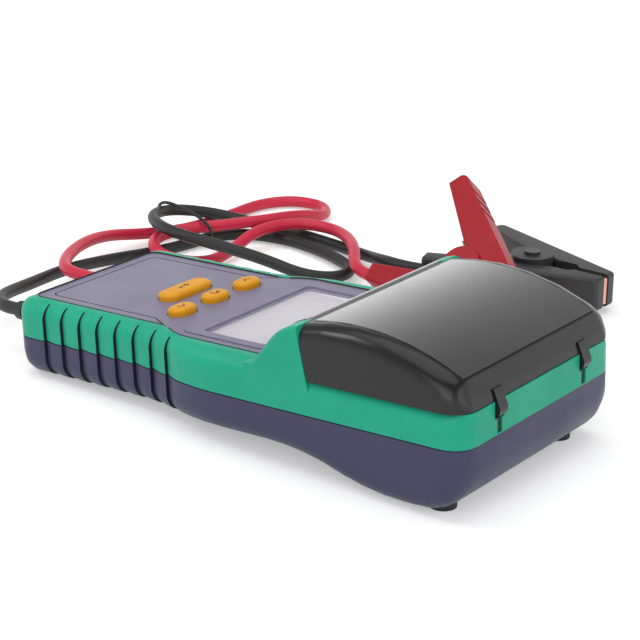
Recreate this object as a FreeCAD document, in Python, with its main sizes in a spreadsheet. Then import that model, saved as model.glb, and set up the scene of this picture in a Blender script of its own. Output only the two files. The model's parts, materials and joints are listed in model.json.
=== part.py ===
import FreeCAD, Part
import math
import os
import re

import Sketcher
from FreeCAD import Placement, Rotation, Vector

# Hand-held battery tester with a built-in receipt printer, two clamp leads and a hinged printer cover.
# Case frame: X along the case towards the printer end, Y across, Z up, the seam plane at Z = 0.
# The finished part lies on a table on its four feet, so every case piece takes one shared lean.

doc = FreeCAD.newDocument("battery_tester")
sheet = doc.addObject("Spreadsheet::Sheet", "Sizes")

SIZES = {
    # case
    "case_length": 220.0, "printer_end": 110.0, "head_width": 102.0, "grip_width": 88.0, "wall": 2.4,
    "flare_start": -47.0, "flare_end": 0.0, "end_corner_radius": 9.0, "cable_corner_radius": 8.0,
    "side_height": 8.5, "deck_height": 14.7, "cable_end_round": 4.0, "rim_height": 12.4,
    "grip_depth": 16.0, "belly_depth": 26.0, "belly_start": 22.0, "belly_crease": 57.0,
    "crease_depth": 22.2, "belly_low": 83.0, "belly_end_radius": 20.0, "bottom_radius": 8.0,
    "rib_inset": 16.5, "rib_pitch": 9.56, "rib_depth": 1.3, "rib_ramp": 6.2, "rib_step": 0.4,
    "seam_gap": 0.5,
    # hump in front of the printer
    "hump_foot": 18.8, "hump_slope": 50.0, "hump_top_slope": 8.0, "hump_end": 40.4, "hump_height": 32.4,
    "cheek_round": 2.0, "cover_front_low": 44.4,
    # front panel, display and keys
    "panel_grip_side": 8.7, "panel_head_side": 10.2, "panel_inset": 4.0, "panel_corner": 4.0,
    "panel_flare_start": -40.0, "panel_flare_end": -20.0, "panel_thick": 1.8, "panel_sink": 0.3,
    "panel_gap": 0.35, "deck_thick": 1.8, "panel_line": 0.6, "panel_line_inset": 5.0,
    "panel_line_flare": -45.0, "panel_line_end": -27.0, "panel_line_depth": 0.5, "view_corner": 1.5,
    "bezel_start": -27.0, "bezel_length": 41.0, "bezel_side": 4.3, "bezel_corner": 4.0, "fit_gap": 0.25,
    "view_start": -19.0, "view_length": 29.5, "view_side": 4.5, "window_thick": 1.2,
    "key_row": -40.8, "key_pitch": 19.5, "key_length": 12.6, "key_width": 8.6, "enter_row": -56.6,
    "enter_length": 27.0, "enter_width": 9.6, "key_proud": 2.8, "key_round": 1.6, "key_travel": 1.0,
    "key_gap": 0.35, "key_flange": 1.2, "key_flange_thick": 1.0,
    # electronics
    "board_inset": 18.0, "board_end": 20.0, "board_side": 11.0, "board_thick": 1.6, "board_top": 4.6,
    "lcd_thick": 4.0, "lcd_margin": 2.2, "spacer_radius": 2.2, "switch_side": 6.0, "switch_height": 3.4,
    "post_radius": 3.0, "board_screw_radius": 1.2, "board_screw_inset": 26.0, "board_screw_last": 16.4,
    "board_screw_side": 3.0, "board_screw_head": 2.2, "board_screw_head_thick": 1.4, "stem_radius": 1.6,
    # printer
    "cover_gap": 0.5, "cover_wall": 2.2, "arc_radius": 97.0, "arc_middle": 60.0, "arc_top": 34.1,
    "crease_back": 4.0, "shoulder_front": 7.0, "shoulder_end": 8.5, "inlay_side": 8.4, "inlay_thick": 1.0,
    "inlay_start": 42.8, "inlay_back": 5.0, "inlay_gap": 0.3, "cover_end_gap": 0.2, "cover_lip": 0.3,
    "hinge_back": 1.2, "hinge_z": 9.2, "knuckle_radius": 3.0, "tongue_y": 28.0, "tongue_width": 5.0,
    "tongue_top": 17.0, "slot_gap": 0.4, "slit_width": 3.0, "pin_radius": 0.8, "pin_length": 14.0,
    "lug_depth": 5.6, "run_gap": 0.05,
    "platen_x": 46.0, "platen_z": 23.0, "platen_radius": 4.2, "shaft_radius": 1.5, "paper_width": 57.6,
    "arm_thick": 2.0, "arm_gap": 0.5, "gear_thick": 3.0, "gear_module": 0.6, "platen_teeth": 18,
    "idler_teeth": 20, "pinion_teeth": 12, "idler_bearing": 256.0, "pinion_bearing": 236.0,
    "mesh_gap": 0.12,
    "motor_radius": 7.5, "motor_length": 14.0, "stud_radius": 1.2, "motor_shaft": 0.9, "gear_gap": 0.4,
    "head_thick": 1.4, "head_low": 17.0, "head_high": 27.5, "frame_step": 17.0, "bridge_x": 36.0,
    "bridge_low": 15.0,
    "bridge_high": 25.0, "head_spring_radius": 0.9, "head_spring_y": 18.0, "nip_gap": 0.3,
    "plate_thick": 2.0, "frame_back": 30.0,
    "frame_front": 47.0, "frame_margin": 2.8,
    "frame_floor": -12.0, "tear_start": 38.0, "tear_width": 1.9, "tear_proud": 0.5, "tear_pitch": 2.0,
    "tear_side": 0.8,
    "roll_radius": 18.0, "roll_x": 76.0, "roll_z": 2.6, "core_radius": 6.0, "tub_wall": 1.8, "tub_gap": 1.2,
    "tub_rest": 0.3, "tub_floor": -19.0, "tub_top": 11.0, "tub_foot": 20.0, "tub_bend": -4.0,
    "tub_post_x": 7.0,
    "tub_post_y": 20.0,
    # fasteners and feet
    "screw_grip_inset": 40.0, "screw_grip_side": 6.4, "screw_head_back": 20.0, "screw_head_side": 5.6,
    "boss_radius": 3.4, "screw_radius": 1.4, "screw_head_radius": 2.6, "screw_head": 2.2,
    "screw_seat": 9.0, "screw_reach": 7.0,
    "foot_belly_back": 17.0, "foot_belly_side": 13.0, "foot_heel_inset": 15.0, "foot_heel_side": 14.0,
    "foot_radius": 5.0, "foot_proud": 1.2, "foot_sink": 1.0,
    # leads
    "lead_diameter": 5.5, "lead_y": 24.0, "lead_z": 1.5, "boot_radius": 5.2, "boot_tip_radius": 3.9,
    "boot_length": 17.0, "boot_collar": 2.2, "boot_groove": 0.9, "lead_insert": 13.0,
    "terminal_length": 9.0, "terminal_width": 8.0,
    # clamps
    "clamp_thick": 15.0, "jaw_length": 39.0, "jaw_half": 7.5, "handle_reach": 38.0, "handle_rise": 33.0,
    "handle_end": 9.0, "handle_inner": 8.6, "mouth_start": 9.5, "mouth_end": 21.0, "mouth_half": 4.6,
    "jaw_gap": 0.4,
    "ear_radius": 9.7, "ear_gap": 0.6, "ear_thick": 4.6, "ear_proud": 2.0, "rivet_radius": 2.2,
    "rivet_head_radius": 3.6, "rivet_head": 1.2, "side_gap": 0.3, "tooth_pitch": 2.2, "tooth_depth": 1.0,
    "jaw_plate_thick": 1.6, "jaw_plate_width": 12.0, "lead_socket": 12.0, "lever_round": 1.6,
    "grip_first": 12.0, "grip_pitch": 6.0, "grip_groove": 1.3,
    "spring_wire": 1.2, "spring_radius": 4.2, "spring_pitch": 1.7, "spring_leg": 16.0,
    "spring_leg_angle": 20.0,
    "spring_room": 3.5,
    # tie wire
    "tie_diameter": 1.6,
}

# Places and widths that follow from the driving sizes above, kept in the same sheet as formulas.
PLACES = {
    "cable_end": "printer_end - case_length",
    "rib_first": "cable_end + rib_inset",
    "panel_start": "cable_end + panel_inset",
    "panel_grip_half": "grip_width / 2 - panel_grip_side",
    "panel_head_half": "head_width / 2 - panel_head_side",
    "bezel_half": "panel_head_half - bezel_side",
    "view_half": "bezel_half - view_side",
    "board_start": "cable_end + board_inset",
    "board_half": "grip_width / 2 - board_side",
    "board_screw_first": "cable_end + board_screw_inset",
    "board_screw_y": "board_half - board_screw_side",
    "crease_x": "printer_end - crease_back",
    "inlay_half": "head_width / 2 - inlay_side",
    "inlay_end": "printer_end - inlay_back",
    "cover_end": "printer_end - cover_end_gap",
    "hinge_x": "printer_end - hinge_back",
    "frame_half": "paper_width / 2 + frame_margin",
    "tear_half": "panel_head_half - tear_side",
    "screw_x_grip": "cable_end + screw_grip_inset",
    "screw_y_grip": "grip_width / 2 - screw_grip_side",
    "screw_x_head": "printer_end - screw_head_back",
    "screw_y_head": "head_width / 2 - screw_head_side",
    "foot_x_belly": "printer_end - foot_belly_back",
    "foot_y_belly": "head_width / 2 - foot_belly_side",
    "foot_x_heel": "cable_end + foot_heel_inset",
    "foot_y_heel": "grip_width / 2 - foot_heel_side",
}

for row, (alias, value) in enumerate(SIZES.items(), start=1):
    sheet.set("A%d" % row, alias)
    sheet.set("B%d" % row, str(value))
    sheet.setAlias("B%d" % row, alias)
for row, (alias, formula) in enumerate(PLACES.items(), start=1):
    sheet.set("D%d" % row, alias)
    sheet.set("E%d" % row, "=" + formula)
    sheet.setAlias("E%d" % row, alias)
doc.recompute()


def size(alias):
    """Value of one driving dimension, read from the sheet."""
    return float(sheet.get(alias))


def bound(formula):
    """Formula in the sheet's aliases, written as the document's expression."""
    return re.sub(r"[a-z_]+[a-z]", lambda m: "Sizes." + m.group() if m.group() in SIZES or m.group() in PLACES else m.group(),
                  formula)


# Small builders: every size is a formula in the sheet's aliases.
ALONG_X = Rotation(Vector(0, 1, 0), 90)
ALONG_Y = Rotation(Vector(1, 0, 0), -90)
ALONG_Z = Rotation()
nodes = {}
loose_pose = {}


def keep(obj, label, pose=None):
    """Register a finished sub-part under its own label, with its own pose if it isn't part of the case."""
    obj.Label = label
    nodes[label] = obj
    if pose is not None:
        loose_pose[label] = pose
    return obj


def block(name, x_span, y_span, z_span):
    """Box between two formulas on each axis."""
    obj = doc.addObject("Part::Box", name)
    for prop, axis, span in (("Length", "x", x_span), ("Width", "y", y_span), ("Height", "z", z_span)):
        obj.setExpression(prop, bound("(%s) - (%s)" % (span[1], span[0])))
        obj.setExpression("Placement.Base." + axis, bound(span[0]))
    return obj


def rod(name, radius, start, length, turn):
    """Cylinder of a formula radius and length from a start point along a turned axis."""
    obj = doc.addObject("Part::Cylinder", name)
    obj.Placement = Placement(Vector(), turn)
    obj.setExpression("Radius", bound(radius))
    obj.setExpression("Height", bound(length))
    for axis, formula in zip("xyz", start):
        obj.setExpression("Placement.Base." + axis, bound(formula))
    return obj


def taper(name, radius, tip_radius, start, length, turn):
    """Cone frustum with the same arguments as a rod, and a second radius."""
    obj = doc.addObject("Part::Cone", name)
    obj.Placement = Placement(Vector(), turn)
    obj.setExpression("Radius1", bound(radius))
    obj.setExpression("Radius2", bound(tip_radius))
    obj.setExpression("Height", bound(length))
    for axis, formula in zip("xyz", start):
        obj.setExpression("Placement.Base." + axis, bound(formula))
    return obj


def fuse(name, shapes):
    """Union of several objects."""
    obj = doc.addObject("Part::MultiFuse", name)
    obj.Shapes = shapes
    obj.Refine = True
    return obj


def cut(name, base, tools):
    """Base less every tool."""
    obj = doc.addObject("Part::Cut", name)
    obj.Base = base
    obj.Tool = tools[0] if len(tools) == 1 else fuse(name + "_tools", tools)
    return obj


def feature(name, shape):
    """Free-form shape as an object of the document."""
    obj = doc.addObject("Part::Feature", name)
    obj.Shape = shape
    return obj


def group(name, objects):
    """Several separate solids in one object."""
    obj = doc.addObject("Part::Compound", name)
    obj.Links = objects
    return obj


def path_edges(points, closed=True):
    """Edges through corner points; a tuple of two points means an arc through the first to the second."""
    edges = []
    first = here = points[0]
    for step in points[1:]:
        if isinstance(step, tuple):
            edges.append(Part.Arc(here, step[0], step[1]).toShape())
            here = step[1]
        else:
            edges.append(Part.LineSegment(here, step).toShape())
            here = step
    if closed and here.distanceToPoint(first) > 1e-6:
        edges.append(Part.LineSegment(here, first).toShape())
    return edges


def profile(points):
    """Closed planar face from corner points and arcs."""
    return Part.Face(Part.Wire(path_edges(points)))


def across(points, half):
    """Profile drawn in X and Z, carried across the case from -half to +half."""
    face = profile(points)
    face.translate(Vector(0, -half, 0))
    return face.extrude(Vector(0, 2 * half, 0))


def x_loft(stations, section):
    """Solid ruled through one closed section per station along X."""
    wires = [Part.Wire(path_edges(section(x))) for x in stations]
    return Part.makeLoft(wires, True, True)


def body_on(name):
    """Empty sketch-based body and its XY plane."""
    body = doc.addObject("PartDesign::Body", name)
    plane = [f for f in body.Origin.OriginFeatures if f.Role == "XY_Plane"][0]
    return body, plane


def sketch_in(body, name, plane):
    """Sketch attached to a plane of its own body."""
    sketch = body.newObject("Sketcher::SketchObject", name)
    sketch.AttachmentSupport = [(plane, "")]
    sketch.MapMode = "FlatFace"
    return sketch


def drive(sketch, index, name, formula):
    """Name a dimension of a sketch and bind it to the sheet."""
    sketch.renameConstraint(index, name)
    sketch.setExpression("Constraints." + name, bound(formula))


def draw_circle(sketch, radius, tag=""):
    """Circle on the sketch's origin with a bound radius."""
    index = sketch.addGeometry(Part.Circle(Vector(), Vector(0, 0, 1), 1.0))
    sketch.addConstraint(Sketcher.Constraint("Coincident", index, 3, -1, 1))
    drive(sketch, sketch.addConstraint(Sketcher.Constraint("Radius", index, 1.0)), "radius" + tag, radius)


def draw_slot(sketch, length, width):
    """Centred slot, long across Y, with round ends and bound length and width."""
    reach, radius = 3.0, 1.0
    top = sketch.addGeometry(Part.ArcOfCircle(Part.Circle(Vector(0, reach, 0), Vector(0, 0, 1), radius), 0, math.pi))
    low = sketch.addGeometry(
        Part.ArcOfCircle(Part.Circle(Vector(0, -reach, 0), Vector(0, 0, 1), radius), math.pi, 2 * math.pi))
    left = sketch.addGeometry(Part.LineSegment(Vector(-radius, reach, 0), Vector(-radius, -reach, 0)))
    right = sketch.addGeometry(Part.LineSegment(Vector(radius, -reach, 0), Vector(radius, reach, 0)))
    for first, end, second, start in ((top, 2, left, 1), (left, 2, low, 1), (low, 2, right, 1), (right, 2, top, 1)):
        sketch.addConstraint(Sketcher.Constraint("Tangent", first, end, second, start))
    sketch.addConstraint(Sketcher.Constraint("Vertical", left))
    sketch.addConstraint(Sketcher.Constraint("Vertical", right))
    sketch.addConstraint(Sketcher.Constraint("Symmetric", top, 3, low, 3, -1, 1))
    drive(sketch, sketch.addConstraint(Sketcher.Constraint("Radius", top, radius)), "end_radius", "(%s) / 2" % width)
    drive(sketch, sketch.addConstraint(Sketcher.Constraint("DistanceY", low, 3, top, 3, 2 * reach)),
          "reach", "(%s) - (%s)" % (length, width))


def pad(body, sketch, height, name="pad"):
    """Pad of a sketch upwards by a formula height."""
    obj = body.newObject("PartDesign::Pad", body.Name + "_" + name)
    obj.Profile = sketch
    obj.setExpression("Length", bound(height))
    return obj


# Case outline: half width, bottom depth and the grip's ribs along X
CABLE_END, PRINTER_END = size("cable_end"), size("printer_end")
RIB_COUNT = 8


def s_curve(x, start, end):
    """Two equal arcs' rise from 0 to 1 between start and end."""
    t = min(max((x - start) / (end - start), 0.0), 1.0)
    return 2 * t * t if t < 0.5 else 1 - 2 * (1 - t) ** 2


def corner_loss(distance, radius):
    """How much a rounded corner takes away at a distance from the end."""
    if distance >= radius:
        return 0.0
    return radius - math.sqrt(max(radius ** 2 - (radius - distance) ** 2, 0.0))


def case_half(x, inset=0.0):
    """Half width of the case at the seam, less an inset."""
    grip, head = size("grip_width") / 2, size("head_width") / 2
    half = grip + (head - grip) * s_curve(x, size("flare_start"), size("flare_end")) - inset
    cable = corner_loss(x - CABLE_END - inset, size("cable_corner_radius"))
    printer = corner_loss(PRINTER_END - inset - x, size("end_corner_radius"))
    return half - max(cable, printer)


def rib_loss(x):
    """Depth of the fish-scale ribs: a sharp step, then a ramp back to the surface."""
    step, ramp = size("rib_step"), size("rib_ramp")
    for i in range(RIB_COUNT):
        run = x - size("rib_first") - i * size("rib_pitch")
        if 0 <= run <= ramp:
            share = run / step if run < step else 1 - (run - step) / (ramp - step)
            return size("rib_depth") * share
    return 0.0


def panel_half(x):
    """Half width of the front panel."""
    grip, head = size("panel_grip_half"), size("panel_head_half")
    return grip + (head - grip) * s_curve(x, size("panel_flare_start"), size("panel_flare_end"))


def case_depth(x, inset=0.0):
    """Depth of the bottom under the seam, less an inset."""
    grip, crease, belly = size("grip_depth"), size("crease_depth"), size("belly_depth")
    start, kink, low = size("belly_start"), size("belly_crease"), size("belly_low")
    first = ((kink - start) ** 2 + (crease - grip) ** 2) / (2 * (crease - grip))
    second = ((low - kink) ** 2 + (belly - crease) ** 2) / (2 * (belly - crease))
    if x <= start:
        depth = grip
    elif x <= kink:
        depth = grip + first - math.sqrt(first ** 2 - (x - start) ** 2)
    elif x <= low:
        depth = belly - second + math.sqrt(second ** 2 - (low - x) ** 2)
    else:
        depth = belly
    cable = corner_loss(x - CABLE_END - inset, size("cable_corner_radius"))
    printer = corner_loss(PRINTER_END - inset - x, size("belly_end_radius"))
    return depth - inset - max(cable, printer)


def spread(start, end, count):
    """Evenly spaced values from start to end."""
    return [start + (end - start) * i / count for i in range(count + 1)]


def end_rounds(inset):
    """Stations that follow the rounded ends."""
    ends = []
    for end, sign, radius, count in ((CABLE_END, -1, size("cable_corner_radius"), 4),
                                     (PRINTER_END, 1, size("belly_end_radius"), 7)):
        for i in range(count + 1):
            turn = 0.5 * math.pi * i / count
            ends.append(end - sign * (inset + radius * (1 - math.sin(turn))))
    return ends


def case_stations(inset=0.0, ribbed=True):
    """Stations of the case along X, from the cable end to the printer end."""
    xs = end_rounds(inset)
    xs += spread(size("flare_start"), size("flare_end"), 6)
    xs += spread(size("belly_start"), size("belly_crease"), 4) + spread(size("belly_crease"), size("belly_low"), 3)
    if ribbed:
        for i in range(RIB_COUNT):
            first = size("rib_first") + i * size("rib_pitch")
            xs += [first, first + size("rib_step"), first + size("rib_ramp")]
    kept = []
    for x in sorted(xs):
        if not kept or x - kept[-1] > 0.2:
            kept.append(x)
    return kept


# Upper case: side, rounded shoulder and deck, with the hump's cheeks in front of the printer
def deck_height(x):
    """Height of the deck, rounded over the cable end."""
    share = min((x - CABLE_END) / size("cable_end_round"), 1.0)
    rise = max(math.sqrt(1 - (1 - share) ** 2), 0.2)
    return size("side_height") + (size("deck_height") - size("side_height")) * rise


def upper_section(x):
    """Outer section of the upper case."""
    half, side, top = case_half(x) - rib_loss(x), size("side_height"), deck_height(x)
    rim = min(panel_half(x) + size("panel_gap") + size("panel_line"), case_half(x) - size("rib_depth") - 0.6)
    bend_y = rim + (half - rim) * math.sqrt(0.5)
    bend_z = side + (top - side) * math.sqrt(0.5)
    return [Vector(x, -half, 0), Vector(x, -half, side), (Vector(x, -bend_y, bend_z), Vector(x, -rim, top)),
            Vector(x, rim, top), (Vector(x, bend_y, bend_z), Vector(x, half, side)), Vector(x, half, 0)]


def upper_hollow_section(x):
    """Inside of the upper case, open downwards."""
    half, side = case_half(x, size("wall")), size("side_height") - size("wall") / 2
    rim = min(panel_half(x), half - 1.0)
    top = size("deck_height") - size("panel_sink") - size("panel_thick") - size("deck_thick")
    below = -1.0
    return [Vector(x, -half, below), Vector(x, -half, side), Vector(x, -rim, top), Vector(x, rim, top),
            Vector(x, half, side), Vector(x, half, below)]


def ramp_points(sink):
    """Foot, bend start, bend middle and end of the ramp up to the printer, sunk by a depth."""
    slope, top = math.radians(size("hump_slope")), math.radians(size("hump_top_slope"))
    run, rise = size("hump_end") - size("hump_foot"), size("hump_height") - size("deck_height")
    turn_x, turn_z = math.sin(slope) - math.sin(top), math.cos(top) - math.cos(slope)
    radius = (run * math.tan(slope) - rise) / (turn_x * math.tan(slope) - turn_z)
    end = Vector(size("hump_end"), 0, size("hump_height"))
    start = end - Vector(radius * turn_x, 0, radius * turn_z)
    centre = end + Vector(radius * math.sin(top), 0, -radius * math.cos(top))
    half_way = (slope + top) / 2
    middle = centre + Vector(-math.sin(half_way), 0, math.cos(half_way)) * (radius - sink)
    start += Vector(math.sin(slope), 0, -math.cos(slope)) * sink
    end += Vector(math.sin(top), 0, -math.cos(top)) * sink
    foot = Vector(size("hump_foot") + sink * math.tan(slope / 2), 0, size("deck_height") - sink)
    return foot, start, middle, end


def cover_front_x(z):
    """X of the slanted joint between hump cheek and printer cover at a height."""
    low, high = size("rim_height"), size("hump_height")
    return size("cover_front_low") + (size("hump_end") - size("cover_front_low")) * (z - low) / (high - low)


def hump_block():
    """Hump over the full width: ramp side, rounded crest and the slanted face towards the cover."""
    foot, start, middle, end = ramp_points(0.0)
    low = size("side_height")
    outline = [Vector(foot.x - 3, 0, low), Vector(foot.x - 3, 0, foot.z), foot, start, (middle, end),
               Vector(cover_front_x(low), 0, low)]
    half = size("head_width") / 2
    shape = across(outline, half)
    crest = [e for e in shape.Edges if abs(abs(e.CenterOfMass.y) - half) < 1e-6 and e.CenterOfMass.z > foot.z + 0.5
             and e.CenterOfMass.x < (end.x + 0.5)]
    return shape.makeFillet(size("cheek_round"), crest)


def panel_outline(gap, top_reach):
    """Plan outline of the front panel, grown by a gap, from the cable end to a reach along X."""
    first = size("panel_start") - gap
    corner = size("panel_corner") + gap
    grip, head = size("panel_grip_half") + gap, size("panel_head_half") + gap
    start, end = size("panel_flare_start"), size("panel_flare_end")
    middle = Vector((start + end) / 2, (grip + head) / 2, 0)
    lean = math.atan2(head - grip, end - start)
    bulge = (head - grip) / 4 * 0.5
    low_bend = Vector((start + middle.x) / 2 + bulge * math.sin(lean), (grip + middle.y) / 2 - bulge * math.cos(lean), 0)
    high_bend = Vector((end + middle.x) / 2 - bulge * math.sin(lean), (head + middle.y) / 2 + bulge * math.cos(lean), 0)
    inner = corner * (1 - math.sqrt(0.5))
    side = [Vector(first, grip - corner, 0),
            (Vector(first + inner, grip - inner, 0), Vector(first + corner, grip, 0)),
            Vector(start, grip, 0), (low_bend, middle), (high_bend, Vector(end, head, 0)), Vector(top_reach, head, 0)]
    flip = lambda p: Vector(p.x, -p.y, p.z)
    points = [flip(side[-1])]
    for here, step in zip(reversed(side[:-1]), reversed(side)):
        target = here[1] if isinstance(here, tuple) else here
        points.append((flip(step[0]), flip(target)) if isinstance(step, tuple) else flip(target))
    return points + side


def slab(points, low, high):
    """Plan outline carried from a low to a high level."""
    face = profile(points)
    face.translate(Vector(0, 0, low))
    return face.extrude(Vector(0, 0, high - low))


def ramp_band(sink, floor_sink, start_x, half):
    """Layer that follows the deck and the ramp between two depths."""
    top, low = ramp_points(sink), ramp_points(floor_sink)
    outline = [Vector(start_x, 0, top[0].z), top[0], top[1], (top[2], top[3]), low[3], (low[2], low[1]), low[0],
               Vector(start_x, 0, low[0].z)]
    return across(outline, half)


FAR = 200.0
PANEL_FLOOR = size("panel_sink") + size("panel_thick")


def upper_case():
    """Green upper shell: ribbed sides, panel seat, hump cheeks, printer bay, bosses and hinge lugs."""
    shell = x_loft(case_stations(), upper_section).fuse(hump_block())
    wall, rim = size("wall"), size("rim_height")
    inner_half = size("head_width") / 2 - wall
    top = ramp_points(PANEL_FLOOR)
    sky = Vector(size("hump_end") + 1.0, 0, top[3].z)
    seat = across([Vector(CABLE_END, 0, top[0].z), top[0], top[1], (top[2], top[3]), sky,
                   Vector(sky.x, 0, FAR), Vector(CABLE_END, 0, FAR)], FAR)
    seat = seat.common(slab(panel_outline(size("panel_gap"), size("hump_end") + 1.0), 0, FAR))
    under = ramp_points(PANEL_FLOOR + size("deck_thick"))
    throat = across([Vector(under[0].x - 6, 0, 2), under[0] + Vector(-6, 0, 0), under[0], under[1],
                     (under[2], under[3]), Vector(FAR, 0, under[3].z), Vector(FAR, 0, 2)], inner_half)
    throat = throat.common(Part.makeBox(size("cover_front_low") - wall - under[0].x + 6, FAR, FAR,
                                        Vector(under[0].x - 6, -FAR / 2, 0)))
    over_rim = across([Vector(cover_front_x(rim), 0, rim), Vector(cover_front_x(FAR), 0, FAR),
                       Vector(FAR, 0, FAR), Vector(FAR, 0, rim)], FAR)
    mouth_half = size("panel_head_half") + size("panel_gap")
    mouth = Part.makeBox(FAR, 2 * mouth_half, FAR, Vector(size("hump_end") - 0.6, -mouth_half, 5))
    mouth = mouth.common(Part.makeBox(PRINTER_END - wall - 10 - size("hump_end"), FAR, FAR,
                                      Vector(size("hump_end") - 0.6, -FAR / 2, 0)))
    bay_front = size("cover_front_low") + wall
    bay = Part.makeBox(PRINTER_END - wall - bay_front, 2 * inner_half, FAR, Vector(bay_front, -inner_half, 5))
    corner = [e for e in bay.Edges if abs(e.BoundBox.ZLength) > 1 and e.CenterOfMass.x > bay_front + 1]
    bay = bay.makeFillet(size("end_corner_radius") - wall, corner)
    hollow = x_loft(case_stations(wall, False), upper_hollow_section)
    shell = shell.cut(hollow).cut(seat).cut(throat).cut(over_rim).cut(mouth).cut(bay)
    return shell.removeSplitter()


def lower_section(x):
    """Outer section of the lower case, with the seam's relief along its top edge."""
    half, depth, gap = case_half(x) - rib_loss(x), case_depth(x), size("seam_gap")
    bend = min(size("bottom_radius"), depth - 2 * gap)
    inner = bend * (1 - math.sqrt(0.5))
    side = [Vector(x, half - gap, 0), Vector(x, half - gap, -gap), Vector(x, half, -gap), Vector(x, half, bend - depth),
            (Vector(x, half - inner, inner - depth), Vector(x, half - bend, -depth))]
    other = [Vector(x, bend - half, -depth), (Vector(x, inner - half, inner - depth), Vector(x, -half, bend - depth)),
             Vector(x, -half, -gap), Vector(x, gap - half, -gap), Vector(x, gap - half, 0)]
    return side + other


def lower_hollow_section(x):
    """Inside of the lower case, open upwards."""
    half, depth = case_half(x, size("wall")), case_depth(x, size("wall"))
    bend = min(size("bottom_radius") - size("wall"), depth - 1.0)
    above = 1.0
    return [Vector(x, half, above), Vector(x, half, bend - depth), Vector(x, half - bend, -depth),
            Vector(x, bend - half, -depth), Vector(x, -half, bend - depth), Vector(x, -half, above)]


def lower_case():
    """Green lower shell with ribbed sides and the deep belly under the paper roll."""
    shell = x_loft(case_stations(), lower_section)
    return shell.cut(x_loft(case_stations(size("wall"), False), lower_hollow_section)).removeSplitter()


SIDES = (("near", "-1"), ("far", "1"))
SCREW_SPOTS = (("grip", "screw_x_grip", "screw_y_grip"), ("head", "screw_x_head", "screw_y_head"))
BOARD_SPOTS = (("cable", "board_screw_first"), ("printer", "board_screw_last"))
KEYS = (("up", -1), ("return", 0), ("down", 1))
PANEL_UNDER = "deck_height - panel_sink - panel_thick"
DECK_UNDER = PANEL_UNDER + " - deck_thick"


def at_spots(name, spots, radius, start_z, length):
    """Upright rods at both sides of each named spot."""
    rods = []
    for spot, x, y in spots:
        for side, sign in SIDES:
            rods.append(rod("%s_%s_%s" % (name, spot, side), radius, (x, "%s * (%s)" % (sign, y), start_z), length,
                            ALONG_Z))
    return rods


def lead_holes(name):
    """Holes for the two lead boots through the cable end."""
    return [rod("%s_%s" % (name, side), "boot_radius - boot_groove + run_gap",
                ("cable_end - 1", "%s * lead_y" % sign, "lead_z"), "wall + 2", ALONG_X) for side, sign in SIDES]


def hinge_slots(name, width, low, high):
    """Slots through the printer end at both hinge tongues."""
    return [block("%s_%s" % (name, side), ("hinge_x - lug_depth", "printer_end + 1"),
                  ("%s * tongue_y - (%s) / 2" % (sign, width), "%s * tongue_y + (%s) / 2" % (sign, width)), (low, high))
            for side, sign in SIDES]


def finish_upper_case():
    """Upper shell with its screw bosses, board posts, hinge lugs and openings."""
    shell = feature("upper_shell", upper_case())
    bosses = at_spots("upper_boss", SCREW_SPOTS, "boss_radius", "0", "side_height + wall / 2")
    board_spots = [(spot, x, "board_screw_y") for spot, x in BOARD_SPOTS]
    posts = at_spots("board_post", board_spots, "post_radius", "board_top", DECK_UNDER + " - board_top + 1")
    lugs = [block("hinge_lug_" + side, ("hinge_x - lug_depth + 1", "printer_end - wall / 2"),
                  ("%s * tongue_y - pin_length / 2" % sign, "%s * tongue_y + pin_length / 2" % sign),
                  ("hinge_z - knuckle_radius - slot_gap - 1", "rim_height - 1")) for side, sign in SIDES]
    whole = fuse("upper_case_solid", [shell] + bosses + posts + lugs)
    holes = at_spots("upper_screw_hole", SCREW_SPOTS, "screw_radius + run_gap", "-1", "screw_reach + 1.5")
    holes += at_spots("board_screw_hole", board_spots, "board_screw_radius + run_gap", "board_top - 1", "5.5")
    holes += lead_holes("upper_lead_hole")
    slot_floor = "hinge_z - knuckle_radius - slot_gap"
    holes += hinge_slots("tongue_slot", "tongue_width + 2 * slot_gap", slot_floor, "rim_height + 1")
    holes += [block("tongue_slit_" + side, ("printer_end - wall / 2", "printer_end + 1"),
                    ("%s * tongue_y - slit_width / 2" % sign, "%s * tongue_y + slit_width / 2" % sign),
                    ("seam_gap", slot_floor)) for side, sign in SIDES]
    for side, sign in SIDES:
        holes.append(rod("pin_hole_" + side, "pin_radius + run_gap",
                         ("hinge_x", "%s * tongue_y - pin_length / 2 - run_gap" % sign, "hinge_z"),
                         "pin_length + 2 * run_gap", ALONG_Y))
    key_reach = "key_pitch + key_length / 2 + key_flange + 1"
    holes.append(block("key_window", ("enter_row - enter_width / 2 - key_flange - 1",
                                      "key_row + key_width / 2 + key_flange + 1"),
                       ("-(%s)" % key_reach, key_reach), (DECK_UNDER + " - 1", "deck_height + 1")))
    lcd_reach = "view_half + lcd_margin + fit_gap"
    holes.append(block("lcd_opening", ("view_start - lcd_margin - fit_gap",
                                       "view_start + view_length + lcd_margin + fit_gap"),
                       ("-(%s)" % lcd_reach, lcd_reach), (DECK_UNDER + " - 1", "deck_height + 1")))
    return keep(cut("upper_case", whole, holes), "upper_case")


FRAME_SPOTS = (("back", "frame_back + 4", "frame_half - 6"), ("front", "frame_front - 4", "frame_half - 6"))
TUB_SPOTS = (("back", "roll_x - tub_post_x", "tub_post_y"), ("front", "roll_x + tub_post_x", "tub_post_y"))


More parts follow.
